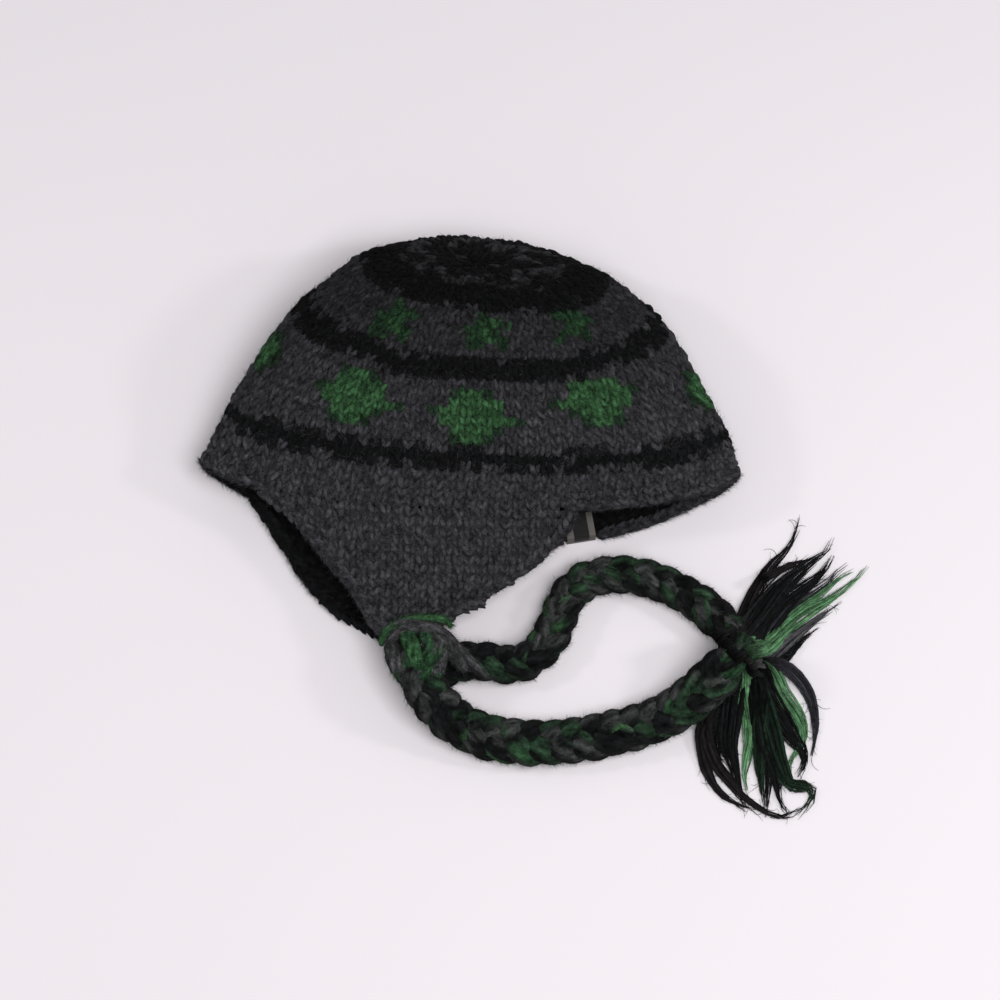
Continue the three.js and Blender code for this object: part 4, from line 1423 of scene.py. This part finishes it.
def lock(gathered, wisps, dye, width, start_height, places):
    """A clump of loose yarn: strands of unequal length that thin out to a wavy tip."""
    rings, fine = LOCK_RINGS, 60
    heights = [start_height] + [1.0] * (len(places) - 1)
    route = [[x, y, z] for (x, y), z in zip(places, heights)]
    centre, length = smooth_curve(np.array(route) / 1000, fine - 1)
    whole = np.linspace(0, 1, fine)
    fall = np.clip(whole / LOCK_FALL, 0, 1)
    fall = fall * fall * (3 - 2 * fall)
    depth = 0.0012 + width / 1000 * 0.26
    centre[:, 2] = start_height / 1000 * (1 - fall) + depth * fall * (1 - 0.7 * whole)
    way = unit(np.gradient(centre, axis=0))
    side = unit(np.cross(way, np.array([0, 0, 1.0])))
    envelope = np.interp(whole, [0, 0.15, 0.35, 0.6, 0.8, 0.9, 1], LOCK_SHAPE)
    strands = int(5 + width * 2.0)
    across = random.permutation(np.linspace(-1, 1, strands)) + random.normal(0, 0.12, strands)
    above = random.uniform(-1, 1, strands) * np.sqrt(np.maximum(0, 1 - across**2 * 0.8))
    # One strand reaches the lock's end, and the others stop short of it.
    ends = 1 - 0.42 * random.random(strands) ** 1.3
    ends[np.argmin(np.abs(across))] = 1
    share = np.linspace(0, 1, rings)
    at = share[None] * ends[:, None]

    def sampled(values):
        return np.stack([np.interp(at, whole, values[:, i]) for i in range(3)], -1)

    spread = across[:, None] * np.interp(at, whole, envelope) * width / 2000
    spread = spread + wandering(strands, rings, 4) * 0.0009 * share**1.5
    raised = above[:, None] * np.interp(at, whole, envelope) * depth * 0.9
    paths = sampled(centre) + sampled(side) * spread[..., None]
    paths[..., 2] += raised
    radius = STRAND_RADIUS * np.interp(share, [0, 0.2, 0.55, 0.8, 1], [1, 1, 0.85, 0.5, 0.08])
    radius = radius[None] * random.uniform(0.75, 1.2, (strands, 1))
    paths[..., 2] = np.maximum(paths[..., 2], radius + 0.0002)
    sides = 5
    tint = (1 + 0.22 * random.normal(0, 1, (strands, 1))) * (1 + 0.16 * wandering(strands, rings, 3))
    # Painted shade: the locks are painted dark where they leave the braid's end, under the other
    # yarns.
    tint = np.clip(tint, 0.35, 1.9) * np.interp(share, [0, 0.1, 0.32], [0.12, 0.25, 1])
    colours = np.array(YARNS[dye]) * tint[..., None]
    corner_colours = np.concatenate([
        np.repeat(colours, sides, 1) * random.uniform(0.75, 1.3, (strands, rings * sides, 1)),
        colours[:, [0, -1]],
    ], 1)
    gathered.add(tubes(paths, radius, sides, 0.85), tube_faces(rings, sides), corner_colours,
                 tube_uvs(rings, sides, length))
    strand = np.repeat(np.arange(strands), LOCK_TUFTS)
    ring = random.integers(1, rings - 2, len(strand))
    start = paths[strand, ring] + (paths[strand, ring + 1] - paths[strand, ring]) * 0.5
    way_on = unit(paths[strand, ring + 1] - paths[strand, ring])
    tilted = random.normal(0, 0.35, (len(strand), 3))
    out = unit(np.cross(way_on, random.normal(0, 1, (len(strand), 3))))
    add_tufts(wisps, start, way_on + tilted, out, random.uniform(0.002, 0.005, len(strand)),
              random.uniform(0.1, 0.5, len(strand)), TUFT_WIDTH,
              colours[strand, ring] * random.uniform(0.6, 1.6, (len(strand), 1)))
    count = WISPS_PER_LOCK
    chosen = random.integers(0, strands, count)
    begin = random.integers(int(rings * 0.5), rings, count)
    start = paths[chosen, begin]
    ahead = paths[chosen, begin] - paths[chosen, begin - 1]
    steps = 10
    run = np.linspace(0, 1, steps)
    reach = random.uniform(0.004, 0.012, (count, 1))
    bend = random.normal(0, 0.3, (count, 1)) + random.normal(0, 1.5, (count, 1)) * run
    turn = np.arctan2(ahead[:, 1], ahead[:, 0])[:, None] + bend
    x = np.cumsum(np.cos(turn) * reach / steps, axis=1)
    y = np.cumsum(np.sin(turn) * reach / steps, axis=1)
    z = np.maximum(start[:, 2:] * (1 - 0.5 * run), 0.0004)
    # A wisp that would lie further out in front is held at LOOSE_REACH.
    end_y = np.maximum(start[:, 1:2] + y, cad_box[0][1] - LOOSE_REACH)
    curls = np.stack([start[:, :1] + x, end_y, z], -1)
    thin = WISP_RADIUS * np.linspace(1, 0.3, steps)
    wisps.add(tubes(curls, thin, 3), tube_faces(steps, 3), np.array([YARNS[dye]] * count) * 1.3,
              tube_uvs(steps, 3, 0.01))


LOCK_SHAPE = [0.9, 1, 1, 0.7, 0.34, 0.14, 0.03]  # its width along its length, as shares

# The locks: dye, width, height of the start, and the places that each one passes, in millimetres
NEAR_LOCKS = [
    ["brown_black", 8, 33, [[131, -117], [139, -101], [146, -82], [154, -68], [161, -60],
                            [167, -52], [171, -38]]],
    ["brown_black", 3.6, 12, [[151, -76], [159, -68], [167, -64], [173, -62], [179, -60]]],
    ["black", 17, 35, [[129, -120], [141, -107], [151, -91], [161, -77], [170, -69],
                       [178, -62], [185, -57], [188, -49]]],
    ["black", 15, 35, [[130, -123], [144, -110], [155, -95], [167, -82], [177, -74], [184, -67],
                       [188, -59]]],
    ["blue_grey", 9, 34, [[133, -124], [150, -108], [164, -90], [177, -80], [185, -74], [190, -68],
                          [196, -64]]],
    ["lock_green", 8, 34, [[139, -121], [152, -107], [163, -94], [173, -85.5], [182, -79],
                           [188, -74], [193, -70], [199, -67]]],
    ["lock_green", 8.5, 33, [[141, -124], [152, -111], [162, -99.5], [173, -91], [184, -84.5],
                             [192, -78.5], [199, -72], [205, -64]]],
    ["lock_grey", 8.5, 32, [[141, -128], [152, -117], [163, -107], [174, -98], [184, -90],
                            [192, -84]]],
    ["black", 9, 28, [[141, -130], [153, -121], [164, -112], [173, -104], [180, -99]]],
]
FAR_LOCKS = [
    ["blue_grey", 5.5, 12, [[150, -122], [160, -121], [168, -126], [173, -133], [176, -142],
                            [177, -150], [176, -159], [174, -168]]],
    ["lock_green", 8.5, 12, [[148, -122], [155, -127], [159, -135], [165, -143], [169, -150],
                             [170, -157], [168, -164], [164, -170], [163, -177]]],
    ["black", 12, 14, [[146, -124], [152, -137], [159, -147], [164, -156], [169, -164],
                       [171, -171], [167, -179]]],
    ["dark_green", 9, 12, [[145, -125], [150, -142], [154, -156], [157, -168], [160, -177],
                           [163, -183], [169, -183], [174, -184], [175, -189], [171, -195],
                           [166, -200]]],
    ["black", 8, 12, [[147, -130], [149, -150], [151, -162], [154, -170], [156, -179],
                      [157, -188], [160, -195], [164, -199]]],
    ["black", 8, 14, [[144, -122], [149, -137], [152, -155], [153, -169], [152, -182],
                      [151, -191], [149, -200]]],
    ["lock_green", 9, 18, [[142, -122], [142, -136], [144, -149], [143, -159], [141, -169],
                           [140, -177], [142, -187]]],
    ["dark_green", 6.5, 11, [[150, -140], [148, -160], [148, -175], [149, -186], [150, -192]]],
    ["black", 10, 14, [[140, -122], [136, -137], [134, -150], [133, -162], [135, -172],
                       [137, -182], [139, -191], [141, -197]]],
    ["brown_black", 5, 10, [[130, -132], [121, -148], [121, -161], [126, -173], [133, -182],
                            [139, -189], [145, -194], [151, -198], [158, -200], [163, -200],
                            [165, -196], [171, -195]]],
    ["brown_black", 4, 8, [[125, -143], [118, -156], [119, -168], [122, -178], [127, -186],
                           [133, -191], [139, -194], [145, -196]]],
    ["black", 7, 10, [[136, -128], [130, -142], [127, -153], [127, -164], [131, -173]]],
]


def tassel(name, locks, node):
    gathered, wisps = Gathered(), Gathered()
    for dye, width, start_height, places in locks:
        lock(gathered, wisps, dye, width, start_height, places)
    return body_and_fuzz(name, gathered, wisps, "_wisps", tassel_wool, "tassel_yarn", node)


NEAR_DYES = (
    ("black", 4), ("root_grey", 4.5), ("dull_green", 3), ("middle_green", 1), ("green", 0.5),
)
FAR_DYES = (
    ("black", 6), ("root_grey", 3.5), ("dull_green", 2.2), ("middle_green", 0.6), ("green", 0.3),
)

near_tassel = tassel("tassel_near_locks", NEAR_LOCKS, "tassel_near")
far_tassel = tassel("tassel_far_locks", FAR_LOCKS, "tassel_far")
near_root = root_yarns("tie_root_near_yarns", NEAR_ROOT_YARNS, "tie_root_near")
far_root = root_yarns("tie_root_far_yarns", FAR_ROOT_YARNS, "tie_root_far")
braid("tie_near_braid", near_path, NEAR_TIE_WIDTH, "tie_near", near_length, NEAR_DYES, 0.9)
braid("tie_far_braid", far_path, FAR_TIE_WIDTH, "tie_far", far_length, FAR_DYES, 0.55)


# Floor

def add_floor():
    deselect_all()
    bpy.ops.mesh.primitive_plane_add(size=6, location=(0, 0, -0.0002))
    floor = bpy.context.object
    floor.name = "floor"
    pale = (*srgb(238, 233, 238), 1)
    floor.data.materials.append(new_material("pale_floor", Base_Color=pale, Roughness=0.7)[0])


add_floor()
